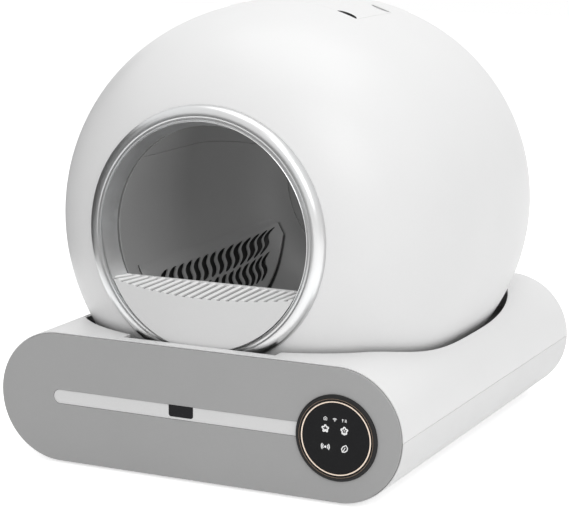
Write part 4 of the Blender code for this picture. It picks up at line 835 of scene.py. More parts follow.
def behind_sieve(finish, place):
    """The share of painted shade on the wall behind the sieve, which shows only through its slots, and its
    grey.
    """
    across, back, up, radius = from_axis(finish, place, Vector((0, FRONT + SIEVE_FRONT, AXIS_HEIGHT)))
    middle = SIEVE_TOP + SIEVE_SPAN / 2
    towards = (across * -math.sin(middle) + up * math.cos(middle)) / radius
    edge = math.cos(SIEVE_SPAN / 2 - SHADE_SIDE_MARGIN)
    left = (across * -1).ramp(-SIEVE_EDGE, 0.002 - SIEVE_EDGE)
    share = towards.ramp(edge, edge + 0.01) * back.ramp(0.002, 0.004) * left * radius.ramp(*SHADE_RADII)
    return share, SHADE_GREY


# The wall behind the sieve gets a near-black painted shade, so that the sieve's slots read dark.
drum_grey = moulded("drum_grey", grey(0.30), 0.50, 1100, 0.00005, 0.06, painted_shade=behind_sieve)
drum_wall = drum_line(DOME_POINTS) + offset_line(drum_line(DOME_POINTS), DRUM_WALL)[::-1]
for name, side in (("drum_upper_half", -1), ("drum_lower_half", 1)):
    half = turned(name, drum_wall, AXIS, "Y", DRUM_STEPS)
    seam_side(half, DRUM_SEAM_TURN, side)
    if side < 0:
        port_low = (-PORT_HALF_WIDTH, FRONT + PORT_DEPTHS[0], AXIS_HEIGHT)
        port_high = (PORT_HALF_WIDTH, FRONT + PORT_DEPTHS[1], AXIS_HEIGHT + DRUM_RADIUS + OVERRUN)
        combine(half, block("waste_port", port_low, port_high))
    soften(half, SHELL_EDGE)
    done(half, "drum", drum_grey, "grey_drum", name.replace("half", "shell"))

BACK_PLATE_RADIUS = 0.140
plate_low, plate_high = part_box("drum_back_plate")
HUB_RADIUS = 0.018
HUB_BORE_RADIUS = 0.0123
HUB_EDGE = 0.001
HUB_FILLET = 0.0015
PLATE_FRONT = FRONT + 0.5353
PLATE_THICKNESS = 0.003
plate_line = [
    (HUB_BORE_RADIUS, plate_low.y),
    (HUB_RADIUS - HUB_EDGE, plate_low.y),
    (HUB_RADIUS, plate_low.y + HUB_EDGE),
    (HUB_RADIUS, PLATE_FRONT - HUB_FILLET),
    (HUB_RADIUS + HUB_FILLET, PLATE_FRONT),
    (BACK_PLATE_RADIUS, PLATE_FRONT),
    (BACK_PLATE_RADIUS, PLATE_FRONT + PLATE_THICKNESS),
    (HUB_RADIUS, PLATE_FRONT + PLATE_THICKNESS),
    (HUB_RADIUS, plate_high.y),
    (HUB_BORE_RADIUS, plate_high.y),
]
back_plate = turned("drum_rear_plate", plate_line, AXIS, "Y", DRUM_STEPS)
soften(back_plate, 0.0004)
done(back_plate, "drum", drum_grey, "grey_drum", "drum_back_plate")

# Axle and drive. A steel axle is fixed to the rear cover and runs in a bronze bush. A nylon ring gear on the
# drum's back meshes with the pinion of a small steel gear motor.
axle_steel = metal("axle_steel", tone(0.62, 0.62, 0.63), 0.22, 2400, (1, 0.05, 1))
bush_bronze = metal("bush_bronze", tone(0.62, 0.42, 0.22), 0.36, 1600)
motor_steel = metal("motor_steel", tone(0.52, 0.53, 0.55), 0.34, 1800, (1, 0.04, 1))
gear_nylon = moulded("gear_nylon", tone(0.78, 0.75, 0.68), 0.45, 1300, 0.00003, 0.05)
coat(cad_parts["drum_axle"], axle_steel)
coat(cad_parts["axle_bush"], bush_bronze)
coat(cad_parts["drive_motor"], motor_steel)
coat(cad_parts["drum_gear"], gear_nylon)
coat(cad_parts["drive_pinion"], gear_nylon)

# Sieve. A thin grey screen follows the drum's left wall a finger's width inside it. Two rows of wavy, leaning
# slots let the clean litter through. Its front and top edges bend out to the wall as lips that hold it.
SIEVE_INSET = 0.011
SIEVE_THICKNESS = 0.0025
SIEVE_LIP = math.radians(4.5)
SLOT_MARGIN = 0.049
SLOT_PITCH = 0.0235
SLOT_CROWDING = (0.17, 0.09)
SLOT_SHARE = 0.72
SLOT_LEAN = 0.040
SLOT_WAVE = 0.0055
SLOT_ROWS = ((math.radians(117), math.radians(126)), (math.radians(126.6), math.radians(136)))
SLOT_STATIONS = 20
SLOT_STAGGER = 0.64
SLOT_EASE = 0.35
SLOT_END_SHARE = 0.16
SLOT_END_LEAST = 0.02
SLOT_CUT_REACH = 0.8
SLOT_SLACK = 0.001
SIEVE_DOME_POINTS = 26
SIEVE_POINTS = 21
SIEVE_STEPS = 60


def eased(share):
    """Goes from 0 to 1 with a gentle start and end."""
    return share * share * (3 - 2 * share)


def joined(pieces):
    """Several pieces made into one."""
    nothing_selected()
    for piece in pieces:
        piece.select_set(True)
    bpy.context.view_layer.objects.active = pieces[0]
    bpy.ops.object.join()
    return bpy.context.object


def walk(line, distance):
    """The point at a distance along a line, and the direction there."""
    for start, end in zip(line, line[1:]):
        step = Vector(end) - Vector(start)
        if distance <= step.length or end == line[-1]:
            return Vector(start) + step.normalized() * distance, step.normalized()
        distance -= step.length


def at_turn(radius, turn, place):
    """A point at an angle from straight up, turning to the left side."""
    return Vector((-radius * math.sin(turn), place, AXIS_HEIGHT + radius * math.cos(turn)))


def wavy_slot(line, distance, width, start, end):
    """A straight bar of many short stations, bent to one leaning wavy slot with round ends."""
    nothing_selected()
    bpy.ops.mesh.primitive_grid_add(
        x_subdivisions=SLOT_STATIONS, y_subdivisions=1, size=1, enter_editmode=True
    )
    bpy.ops.mesh.select_all(action="SELECT")
    bpy.ops.mesh.extrude_region_move(TRANSFORM_OT_translate={"value": (0, 0, 1)})
    bar = bpy.context.object
    nothing_selected()
    for vertex in bar.data.vertices:
        share = vertex.co.x + 0.5
        share = eased(share) * SLOT_EASE + share * (1 - SLOT_EASE)
        near_end = min(share, 1 - share) / SLOT_END_SHARE
        wide = width * vertex.co.y * math.sqrt(max(SLOT_END_LEAST, 1 - max(0, 1 - near_end) ** 2))
        wave = SLOT_WAVE * math.sin(math.tau * share) + SLOT_LEAN * share
        middle, along = walk(line, distance - wave)
        outward = Vector((along.y, -along.x)) * SIEVE_INSET * SLOT_CUT_REACH
        spot = middle + outward * (2 * vertex.co.z - 1) + along * wide
        vertex.co = at_turn(spot.x, start + (end - start) * share, spot.y)
    return bar


sieve_grey = moulded("sieve_grey", grey(0.28), 0.48, 1100, 0.00005, 0.06)
wall_line = [(DRUM_RADIUS, FRONT + SIEVE_FRONT)] + back_dome(SIEVE_DOME_POINTS)[:SIEVE_POINTS]
face_line = offset_line(wall_line, SIEVE_INSET)
lip_start = Vector((DRUM_RADIUS - DRUM_WALL - SEAM_GAP, FRONT + SIEVE_FRONT + SIEVE_THICKNESS))
lip_line = [tuple(lip_start), (face_line[0][0], lip_start.y + SIEVE_INSET)] + face_line[1:]
inner_line = offset_line(lip_line, SIEVE_THICKNESS)
sieve_section = lip_line + inner_line[::-1]
sieve = trace("litter_sieve", [at_turn(radius, SIEVE_TOP, place) for radius, place in sieve_section])
bpy.ops.mesh.edge_face_add()
spun(SIEVE_STEPS, SIEVE_SPAN, AXIS, (0, 1, 0))
for vertex in sieve.data.vertices:
    up = vertex.co - AXIS
    turn = math.atan2(-up.x, up.z)
    share = max(0, 1 - (turn - SIEVE_TOP) / SIEVE_LIP) if vertex.co.y > lip_start.y + SIEVE_INSET / 2 else 0
    rise = (SIEVE_INSET - DRUM_WALL - SEAM_GAP) * eased(share)
    vertex.co.x -= rise * math.sin(turn)
    vertex.co.z += rise * math.cos(turn)
bars = []
face_length = sum((Vector(two) - Vector(one)).length for one, two in zip(face_line, face_line[1:]))
distance = SLOT_MARGIN
while distance < face_length:
    pitch = SLOT_PITCH - SLOT_CROWDING[1] * max(0, distance - SLOT_CROWDING[0])
    for row, (start, end) in enumerate(SLOT_ROWS):
        top = distance - row * SLOT_STAGGER * SLOT_LEAN
        if top > SLOT_MARGIN - SLOT_SLACK:
            bars.append(wavy_slot(face_line, top, SLOT_SHARE * pitch, start, end))
    distance += pitch
slots = joined(bars)
edit_all(slots)
turn_outwards()
combine(sieve, slots)
middle_low = (SIEVE_EDGE, FRONT, -OVERRUN)
middle_high = (DRUM_RADIUS, FRONT + DRUM_END, AXIS_HEIGHT + DRUM_RADIUS)
combine(sieve, block("sieve_end_cut", middle_low, middle_high))
soften(sieve, 0.0003, 1, math.radians(50))
done(sieve, "drum", sieve_grey, "grey_sieve", "sieve_screen")

# Globe. The fixed outer globe is two white ABS mouldings, a deep hood and a shallow rear cover, screwed
# together at a fine parting line near the back. Both are cut level where they stand on the inner frame.
GLOBE_CUT_HEIGHT = 0.120
RING_COLLAR_RADIUS = 0.1525
HOOD_BORE_RADIUS = RING_COLLAR_RADIUS + SEAM_GAP
HOOD_BORE_END = 0.056
RING_RISE = 0.0056
RING_TILT = math.radians(0.75)
RING_CENTRE = Vector((0, FRONT, AXIS_HEIGHT + RING_RISE))
GLOBE_STEPS = 256
GLOBE_POINTS = 84
COVER_POINTS = 20
HATCH_HALF_WIDTH = 0.106
HATCH_DEPTHS = (0.242, 0.352)
EDGE_ROUNDING = 0.0006


def below_cut():
    """All the space under the level at which the globe is cut."""
    reach = 2 * GLOBE_RADIUS
    return block("level_cut", (-reach, FRONT - reach, -OVERRUN), (reach, FRONT + 2 * reach, GLOBE_CUT_HEIGHT))


def over_hatch(name, margin):
    """A tall box over the fill hatch, wider than it by a margin."""
    low = (-HATCH_HALF_WIDTH - margin, FRONT + HATCH_DEPTHS[0] - margin, AXIS_HEIGHT + GLOBE_RADIUS / 2)
    high = (HATCH_HALF_WIDTH + margin, FRONT + HATCH_DEPTHS[1] + margin, AXIS_HEIGHT + GLOBE_RADIUS + OVERRUN)
    return block(name, low, high, 0.002)


def hood_wall():
    """Closed section of the hood, from under the entry ring to the parting line."""
    start = HOOD_BORE_RADIUS - 2 * RING_RISE
    outer = [(start, FRONT + front_edge_depth(start))]
    outer += globe_line(front_edge_depth(RING_RADIUS), PARTING_DEPTH, GLOBE_POINTS)
    inner = offset_line(outer[::3] + [outer[-1]], GLOBE_WALL)
    inner[0] = (start, inner[0][1])
    return outer + inner[::-1]


def ring_turned(name, line, closed=True):
    """A piece turned on the entry ring's axis, which lies above the globe's and leans back a little."""
    piece = turned(name, line, RING_CENTRE, "Y", GLOBE_STEPS, closed)
    edit_all(piece)
    bpy.ops.transform.rotate(value=RING_TILT, orient_axis="X", center_override=RING_CENTRE)
    nothing_selected()
    return piece


hood = turned("globe_hood", hood_wall(), AXIS, "Y", GLOBE_STEPS)
bore_end = FRONT + HOOD_BORE_END
bore_line = [(0, FRONT), (HOOD_BORE_RADIUS, FRONT), (HOOD_BORE_RADIUS, bore_end), (0, bore_end)]
combine(hood, ring_turned("hood_bore", bore_line, closed=False))
combine(hood, below_cut())
combine(hood, over_hatch("hatch_opening", SEAM_GAP))
soften(hood, EDGE_ROUNDING)
done(hood, "base", white_shell, "white_shell", "globe_shell")

cover_depths = spread(PARTING_DEPTH + SEAM_GAP, SHOULDER_DEPTH, COVER_POINTS)
cover_outer = [(globe_radius(depth), FRONT + depth) for depth in cover_depths]
cover_end = Vector((END_RADIUS, FRONT + END_DEPTH))
cover_bend = Vector(cover_outer[-1])
cover_inner = offset_line(cover_outer, GLOBE_WALL) + [(END_RADIUS, cover_end.y - GLOBE_WALL)]
cover_outer += [tuple(cover_bend.lerp(cover_end, share)) for share in (0.5, 1.0)]
cover_line = cover_outer + [(0, cover_end.y), (0, cover_end.y - GLOBE_WALL)] + cover_inner[::-1]
cover = turned("globe_cover", cover_line, AXIS, "Y", GLOBE_STEPS)
combine(cover, below_cut())
soften(cover, EDGE_ROUNDING)
done(cover, "base", white_shell, "white_shell", "globe_rear_cover")

# Fill hatch. The lid over the fill opening lifts out and is moulded in the same white ABS. Its front and back
# edges have a lens-shaped finger slot near each corner, with painted shade on the slot walls. It rests on a
# soft dark rubber seal.
FINGER_ENDS = (0.0785, 0.1045)
FINGER_REACH = 0.011
FINGER_RIM = 0.0009
hatch = turned("hatch_lid", hood_wall(), AXIS, "Y", GLOBE_STEPS)
combine(hatch, over_hatch("hatch_trim", 0), "INTERSECT")
for side in (-1, 1):
    for depth in HATCH_DEPTHS:
        spot = Vector((side * sum(FINGER_ENDS) / 2, FRONT + depth, 0))
        slot_low, slot_high = spot + AXIS, spot + AXIS + Vector((0, 0, GLOBE_RADIUS + OVERRUN))
        finger = drill("finger_slot", 1, slot_low, slot_high, steps=48)
        edit_all(finger)
        slot_size = ((FINGER_ENDS[1] - FINGER_ENDS[0]) / 2, FINGER_REACH, 1)
        bpy.ops.transform.resize(value=slot_size, center_override=spot)
        combine(hatch, finger)
soften(hatch, EDGE_ROUNDING)
done(hatch, "hatch", white_shell, "white_shell", "fill_hatch")
# Painted shade: the finger slots' inner walls get a near-black finish of their own.
hatch.data.materials.append(moulded("slot_shade", grey(0.03), 0.60, 1300, 0.00003, 0.2))
for face in hatch.data.polygons:
    below = globe_radius(face.center.y - FRONT) - FINGER_RIM - (face.center - AXIS).xz.length
    in_slot = FINGER_ENDS[0] - EDGE_ROUNDING < abs(face.center.x) < FINGER_ENDS[1] + EDGE_ROUNDING
    from_edge = min(abs(face.center.y - FRONT - depth) for depth in HATCH_DEPTHS)
    near_edge = from_edge < FINGER_REACH + EDGE_ROUNDING
    face.material_index = int(below > 0 and in_slot and near_edge)
coat(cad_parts["hatch_seal"], rubber("seal_rubber", 0.10))

# Entry ring. A ring in satin nickel-plated ABS closes the globe's mouth, a little above the globe's axis and
# leant back. Its broad face is rounded, a fine groove marks the lip, and fine lines run round its bore.
LIP_RADIUS = 0.1407
LIP_DEPTH = 0.0265
LIP_WIDTH = 0.002
CORNER_DEPTH = 0.0235
BORE_RADIUS = 0.132
SLEEVE_WALL = 0.0035
RING_END_DEPTH = 0.052
RING_SHOULDER = 0.046
GROOVE_SHARE = 0.10
GROOVE_HALF_SHARE = 0.04
GROOVE_DEPTH = 0.0004
LINED_RADII = (0.1385, 0.1395)
LIP_TURNS = (math.radians(20), math.radians(45), math.radians(70))


def turning_lines(finish, place, radius_share, roughness):
    """Fine lines that run round the ring's axis, from 0 to 1, and how far from the axis a point lies."""
    across, depth, up, radius = from_axis(finish, place, RING_CENTRE)
    sockets = {"X": across / radius, "Y": up / radius, "Z": radius * radius_share}
    round_it = finish.node("ShaderNodeCombineXYZ", {}, sockets)
    sockets = {"Vector": round_it, "W": depth * 900, "Scale": 3.0, "Detail": 4.0, "Roughness": roughness}
    return finish.node("ShaderNodeTexNoise", {"noise_dimensions": "4D"}, sockets, "Fac"), radius


def satin_nickel():
    """Plated ring: soft on its face, with fine lines round its bore."""
    made, finish = finish_named("satin_nickel")
    place = finish.place()
    line, radius = turning_lines(finish, place, 40, 0.6)
    cloud = finish.noise(14, 3, place)
    fine = finish.noise(1500, 2, place)
    in_bore = (radius * -1).ramp(-LINED_RADII[1], -LINED_RADII[0])
    finish.surface({
        "Base Color": finish.blend(cloud.ramp(0.3, 0.7), grey(0.66), tone(0.72, 0.73, 0.735)),
        "Metallic": 1.0,
        "Roughness": 0.26 + 0.05 * cloud + in_bore * (0.06 + 0.16 * line),
        "Normal": finish.bump(line * in_bore + 0.02 * fine, 0.0002, 1.0),
    })
    return made


def brushed_nickel():
    """The ring's inner end, brushed all the way round, so that its gloss spreads from front to back."""
    made, finish = finish_named("brushed_nickel")
    line = turning_lines(finish, finish.place(), 0, 0.5)[0]
    finish.surface({
        "Base Color": finish.blend(line.ramp(0.3, 0.7), grey(0.80), grey(0.95)),
        "Metallic": 0.6,
        "Roughness": 0.50 + 0.12 * line,
        "Anisotropic": 0.9,
        "Normal": finish.bump(line, 0.00008, 0.5),
    })
    return made


lip = Vector((LIP_RADIUS, FRONT + LIP_DEPTH))
ring_corner = Vector((RING_RADIUS, FRONT + CORNER_DEPTH))
ring_back = Vector((RING_RADIUS, FRONT + front_edge_depth(RING_RADIUS) - SEAM_GAP))
ring_line = []
for share in spread(0, 1, 40):
    point = lip.lerp(ring_corner, share).lerp(ring_corner.lerp(ring_back, share), share)
    dent = GROOVE_DEPTH * max(0, 1 - ((share - GROOVE_SHARE) / GROOVE_HALF_SHARE) ** 2)
    ring_line.append((point.x, point.y + dent))
ring_line += [
    (RING_COLLAR_RADIUS, FRONT + front_edge_depth(RING_COLLAR_RADIUS) - SEAM_GAP),
    (RING_COLLAR_RADIUS, FRONT + RING_SHOULDER),
    (BORE_RADIUS + SLEEVE_WALL, FRONT + RING_SHOULDER),
    (BORE_RADIUS + SLEEVE_WALL, FRONT + RING_END_DEPTH),
    (BORE_RADIUS, FRONT + RING_END_DEPTH),
    (LIP_RADIUS - LIP_WIDTH, FRONT + LIP_DEPTH + LIP_WIDTH),
]
for turn in LIP_TURNS:
    rounding = FRONT + LIP_DEPTH + LIP_WIDTH * (1 - math.cos(turn))
    ring_line.append((LIP_RADIUS - LIP_WIDTH * (1 - math.sin(turn)), rounding))
ring = ring_turned("entrance_ring", ring_line)
smooth(ring, math.radians(40))
done(ring, "base", satin_nickel(), "brushed_silver", "entry_ring")
ring.data.materials.append(brushed_nickel())
for face in ring.data.polygons:
    face.material_index = int((face.center - RING_CENTRE).xz.length < BORE_RADIUS + LIP_WIDTH)

# Step. A white ABS moulding fills the bottom of the ring: a plain chin, bulged forward, and a tread with
# rounded ribs that shake litter off the cat's paws. The ribs lean to the left as they come to the front.
STEP_TOP = RING_CENTRE.z - 0.0593
STEP_HEIGHT = 0.095
STEP_DEPTHS = (0.018, 0.051)
STEP_HALF_WIDTH = 0.126
STEP_BULGE_RADIUS = 0.890
STEP_GAP = 0.0008
STEP_PLATE = 0.0045
STEP_WALL = 0.005
TREAD_DIP = 0.0130
TREAD_SIDE_DIP = 0.0027
RIB_COUNT = 26
RIB_PITCH = 0.0118
RIB_WIDTH = 0.0066
RIB_HEIGHT = 0.0022
RIB_LEAN = 0.65
RIB_ROUNDNESS = 0.6
CHIN_STEPS = 48
STEP_EDGE = 0.0006
TREAD_EDGE = 0.0018
# Painted shade in the grooves between the ribs: its strength and its grey.
RIB_SHADE = 0.85
RIB_SHADE_GREY = 0.16


def chin_depth(across):
    """How far behind the panel's face the bulged chin lies at a distance from the middle."""
    return STEP_DEPTHS[0] + STEP_BULGE_RADIUS - math.sqrt(STEP_BULGE_RADIUS**2 - across**2)


def tread_drop(across, depth):
    """How far the ribs lie below the tread's level back edge; they dip in the middle of the front."""
    chin_drop = TREAD_DIP - (TREAD_DIP - TREAD_SIDE_DIP) * (across / STEP_HALF_WIDTH) ** 2
    return chin_drop * (STEP_DEPTHS[1] - depth) / (STEP_DEPTHS[1] - chin_depth(across))


def tread():
    """Back view of the step, level, with a rounded top on each rib."""
    valley = STEP_TOP - RIB_HEIGHT
    low = STEP_TOP - STEP_HEIGHT
    reach = RIB_PITCH * RIB_COUNT / 2
    line = [(-reach, low), (reach, low), (reach, valley)]
    for i in reversed(range(RIB_COUNT)):
        middle = RIB_PITCH * (i - (RIB_COUNT - 1) / 2)
        for turn in spread(0, math.pi, 9):
            rise = math.sin(turn) ** RIB_ROUNDNESS if 0 < turn < math.pi else 0
            line.append((middle + RIB_WIDTH / 2 * math.cos(turn), valley + RIB_HEIGHT * rise))
    return line + [(-reach, valley)]


def chin_block(name, inset):
    """A tall block with the step's plan: a bulged front, drawn in by an inset, and a back past its end."""
    reach = math.asin((STEP_HALF_WIDTH + OVERRUN) / STEP_BULGE_RADIUS)
    centre = (0, FRONT + STEP_DEPTHS[0] + STEP_BULGE_RADIUS)
    half_turn = math.pi / 2
    front = arc(centre, STEP_BULGE_RADIUS - inset, -half_turn - reach, -half_turn + reach, CHIN_STEPS)
    back = FRONT + STEP_DEPTHS[1] + 2 * OVERRUN
    plan = front + [(front[-1][0], back), (front[0][0], back)]
    low = STEP_TOP - STEP_HEIGHT - OVERRUN
    return pulled(name, [(x, y, low) for x, y in plan], (0, 0, STEP_HEIGHT + 2 * OVERRUN))


step_front = STEP_DEPTHS[0] - OVERRUN
step = extruded("ribbed_step", tread(), FRONT + step_front, FRONT + STEP_DEPTHS[1])
for vertex in step.data.vertices:
    if vertex.co.y < FRONT + STEP_DEPTHS[0]:
        vertex.co.x -= RIB_LEAN * (STEP_DEPTHS[1] - step_front)
    if vertex.co.y < FRONT + STEP_DEPTHS[0] and vertex.co.z > STEP_TOP - STEP_HEIGHT / 2:
        vertex.co.z -= tread_drop(vertex.co.x, step_front)
edge_low = (-STEP_HALF_WIDTH, FRONT + STEP_DEPTHS[1] - TREAD_EDGE, STEP_TOP - STEP_HEIGHT / 2)
combine(step, block("tread_edge", edge_low, (STEP_HALF_WIDTH, FRONT + STEP_DEPTHS[1], STEP_TOP)), "UNION")
front_radius = LIP_RADIUS - LIP_WIDTH - STEP_GAP
back_radius = BORE_RADIUS - STEP_GAP
bore_line = [
    (0, FRONT - OVERRUN),
    (front_radius, FRONT - OVERRUN),
    (front_radius, FRONT + LIP_DEPTH + LIP_WIDTH),
    (back_radius, FRONT + RING_END_DEPTH),
    (back_radius, FRONT + STEP_DEPTHS[1] + OVERRUN),
    (0, FRONT + STEP_DEPTHS[1] + OVERRUN),
]
room = ring_turned("ring_bore", bore_line, closed=False)
combine(room, chin_block("step_bulge", 0), "INTERSECT")
combine(step, room, "INTERSECT")
reach = STEP_HALF_WIDTH + OVERRUN
hollow_top = STEP_TOP - TREAD_DIP - RIB_HEIGHT - STEP_PLATE
hollow_low = (-reach, FRONT + STEP_DEPTHS[0], STEP_TOP - STEP_HEIGHT - OVERRUN)
hollow_high = (reach, FRONT + STEP_DEPTHS[1] + OVERRUN, hollow_top)
hollow = block("step_hollow", hollow_low, hollow_high)
combine(hollow, chin_block("step_room", STEP_WALL), "INTERSECT")
combine(step, hollow)
soften(step, STEP_EDGE)


def between_ribs(finish, place):
    """The share of painted shade in the grooves between the ribs, up to the tread's back edge, and its grey.
    """
    across = finish.node("ShaderNodeSeparateXYZ", {}, {"Vector": place}, "X")
    depth = across.other("Y") - (FRONT + STEP_DEPTHS[0])
    behind_chin = depth - across * across * (0.5 / STEP_BULGE_RADIUS)
    leaning = across - RIB_LEAN * (depth - (STEP_DEPTHS[1] - STEP_DEPTHS[0]))
    wave = leaning.math("COSINE", leaning * (math.tau / RIB_PITCH))
    plain_edge = STEP_DEPTHS[0] + TREAD_EDGE - STEP_DEPTHS[1]
    on_tread = behind_chin.ramp(0.0004, 0.0012) * (depth * -1).ramp(plain_edge, plain_edge + 0.0002)
    return RIB_SHADE * wave.ramp(-0.2, 0.6) * on_tread, RIB_SHADE_GREY


# The grooves between the ribs are darkened with painted shade.
white_step = moulded("white_step", grey(0.74), 0.42, 1300, 0.00003, 0.03, painted_shade=between_ribs)
done(step, "base", white_step, "white_step", "entry_step")

# Waste bin and bag frame. A grey open box hangs behind the drawer front and takes a bag, whose edge the
# white frame on top of it holds. Both are plain mouldings with rounded corners.
bin_low, bin_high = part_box("waste_bin")
BIN_WALL = 0.0025
BIN_CORNER = 0.008
BIN_EDGE = 0.0006
waste_box = block("waste_box", bin_low, bin_high, BIN_CORNER)
room_low = (bin_low.x + BIN_WALL, bin_low.y + BIN_WALL, bin_low.z + BIN_WALL)
room_high = (bin_high.x - BIN_WALL, bin_high.y - BIN_WALL, bin_high.z + OVERRUN)
combine(waste_box, block("bin_room", room_low, room_high, BIN_CORNER - BIN_WALL))
soften(waste_box, BIN_EDGE)
done(waste_box, "drawer", frame_grey, "grey_frame", "waste_bin")
rim_low, rim_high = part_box("bag_frame")
BAG_FRAME_WIDTH = 0.010
bag_rim = block("bag_rim", rim_low, rim_high, BIN_CORNER)
window_low = (rim_low.x + BAG_FRAME_WIDTH, rim_low.y + BAG_FRAME_WIDTH, rim_low.z - OVERRUN)
window_high = (rim_high.x - BAG_FRAME_WIDTH, rim_high.y - BAG_FRAME_WIDTH, rim_high.z + OVERRUN)
combine(bag_rim, block("bag_window", window_low, window_high, BIN_CORNER / 2))
soften(bag_rim, BIN_EDGE)
done(bag_rim, "drawer", white_base, "white_base", "bag_frame")

# Drawer front. A flat mid-grey panel with round ends fills the front of the base, moulded in ABS with a fine
# even grain and a rounded edge. A shallow recess takes the strip and a round hole the display.
display_low, display_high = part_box("display_bezel")
DISPLAY = (display_low + display_high) / 2
PANEL_INSET = RIM_WIDTH + SEAM_GAP
PANEL_THICKNESS = 0.012
DISPLAY_BARREL = 0.0495
STRIP_HEIGHTS = (0.078, 0.0962)
STRIP_LEFT = -0.1978
STRIP_RECESS = 0.003
STRIP_END_GAP = 0.0015
PANEL_EDGE = 0.0009
FINE_EDGE = 0.0003


def strip_outline(inset):
    """The long strip: round at its left end, and square where the display covers it."""
    low, high = STRIP_HEIGHTS[0] + inset, STRIP_HEIGHTS[1] - inset
    radius = (high - low) / 2
    right = DISPLAY.x - DISPLAY_BARREL - STRIP_END_GAP - inset
    end = arc((STRIP_LEFT + inset + radius, low + radius), radius, math.pi / 2, 3 * math.pi / 2, 24)
    return [(right, low), (right, high)] + end


panel_grey = moulded("panel_grey", grey(0.40), 0.50, 1500, 0.00004, 0.03)
panel = extruded("drawer_panel", round_ended(PANEL_INSET), FRONT, FRONT + PANEL_THICKNESS)
hole_ends = (DISPLAY.x, FRONT - OVERRUN, DISPLAY.z), (DISPLAY.x, FRONT + 2 * OVERRUN, DISPLAY.z)
combine(panel, drill("display_hole", DISPLAY_BARREL + TOUCH_GAP, *hole_ends, axis="Y", steps=128))
combine(panel, extruded("strip_recess", strip_outline(0), FRONT - OVERRUN, FRONT + STRIP_RECESS))
soften(panel, PANEL_EDGE, 3)
done(panel, "drawer", panel_grey, "grey_panel", "drawer_front")

# Strip and sensor window. A pale satin strip lies in the panel's recess, a little below its face, and a
# window of black smoked acrylic sits in a notch in it.
strip_low, strip_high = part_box("handle_strip")
window_low, window_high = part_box("sensor_window")
WINDOW_CORNER = 0.003


def window_outline(grow, top):
    """The sensor window, with round lower corners."""
    radius = WINDOW_CORNER + grow
    low = window_low.z - grow
    left, right = window_low.x - grow, window_high.x + grow
    line = arc((left + radius, low + radius), radius, math.pi, 3 * math.pi / 2, 8)
    line += arc((right - radius, low + radius), radius, 3 * math.pi / 2, 2 * math.pi, 8)
    return line + [(right, top), (left, top)]


pale_strip = moulded("pale_strip", grey(0.77), 0.36, 1500, 0.00002, 0.03)
strip = extruded("pale_strip", strip_outline(TOUCH_GAP), strip_low.y, strip_high.y)
notch = window_outline(TOUCH_GAP, STRIP_HEIGHTS[1] + OVERRUN)
combine(strip, extruded("window_notch", notch, strip_low.y - OVERRUN, strip_high.y + OVERRUN))
soften(strip, FINE_EDGE)
done(strip, "drawer", pale_strip, "pale_strip", "handle_strip")
smoked_acrylic = moulded("smoked_acrylic", tone(0.008, 0.008, 0.010), 0.12, 1500, 0.000004, 0.2, ior=1.25)
window = extruded("sensor_lens", window_outline(0, window_high.z), window_low.y, window_high.y)
soften(window, FINE_EDGE)
done(window, "drawer", smoked_acrylic, "black_gloss", "sensor_window")

# Display. A round touch display fills the hole in the panel: a black bezel with a rounded charcoal rim and a
# fine gold line, a rose-gold accent ring, and black glass with lit icons over a green circuit board.
BEZEL_WALL = 0.0035
BEZEL_BACK = 0.0035
LEDGE_FRONT = 0.001
LEDGE_WIDTH = 0.004
GOLD_LINE_RADIUS = 0.0475
GOLD_LINE_HALF_WIDTH = 0.00022
BEZEL_RIM = 0.0024
CHARCOAL_RADII = (0.0492, 0.0498)
DISPLAY_STEPS = 160
bezel_outer = (display_high.x - display_low.x) / 2
bezel_inner = DISPLAY_BARREL - BEZEL_WALL
bezel_face = display_low.y
bezel_line = [
    (bezel_outer, FRONT - TOUCH_GAP),
    (DISPLAY_BARREL, FRONT - TOUCH_GAP),
    (DISPLAY_BARREL, display_high.y),
    (bezel_inner, display_high.y),
    (bezel_inner, FRONT + BEZEL_BACK),
    (bezel_inner - LEDGE_WIDTH, FRONT + BEZEL_BACK),
    (bezel_inner - LEDGE_WIDTH, FRONT + LEDGE_FRONT),
    (bezel_inner, FRONT + LEDGE_FRONT),
    (bezel_inner, bezel_face + FINE_EDGE),
    (bezel_inner + FINE_EDGE, bezel_face),
]
for x, y in arc((0, 0), BEZEL_RIM, -math.pi / 2, 0, 10):
    bezel_line.append((bezel_outer - BEZEL_RIM + x, bezel_face + BEZEL_RIM + y))


def bezel_black():
    """Gloss black in the middle of the bezel, charcoal on its rim, and a fine gold line between."""
    made, finish = finish_named("bezel_black")
    place = finish.place()
    radius = from_axis(finish, place, DISPLAY)[-1]
    distance = radius.math("ABSOLUTE", radius - GOLD_LINE_RADIUS)
    line = 1 - distance.ramp(GOLD_LINE_HALF_WIDTH * 0.6, GOLD_LINE_HALF_WIDTH)
    rim_share = radius.ramp(*CHARCOAL_RADII)
    speck = finish.noise(1600, 2, place)
    cloud = finish.noise(60, 2, place)
    plastic = finish.blend(rim_share, grey(0.010), finish.blend(speck, grey(0.012), grey(0.026)))
    finish.surface({
        "Base Color": finish.blend(line, plastic, tone(0.24, 0.17, 0.12)),
        "Metallic": line,
        "Roughness": 0.16 + 0.26 * rim_share + 0.04 * cloud + 0.06 * speck,
        "Normal": finish.bump(speck, 0.00001, 0.4),
        "IOR": 1.30,
    })
    return made


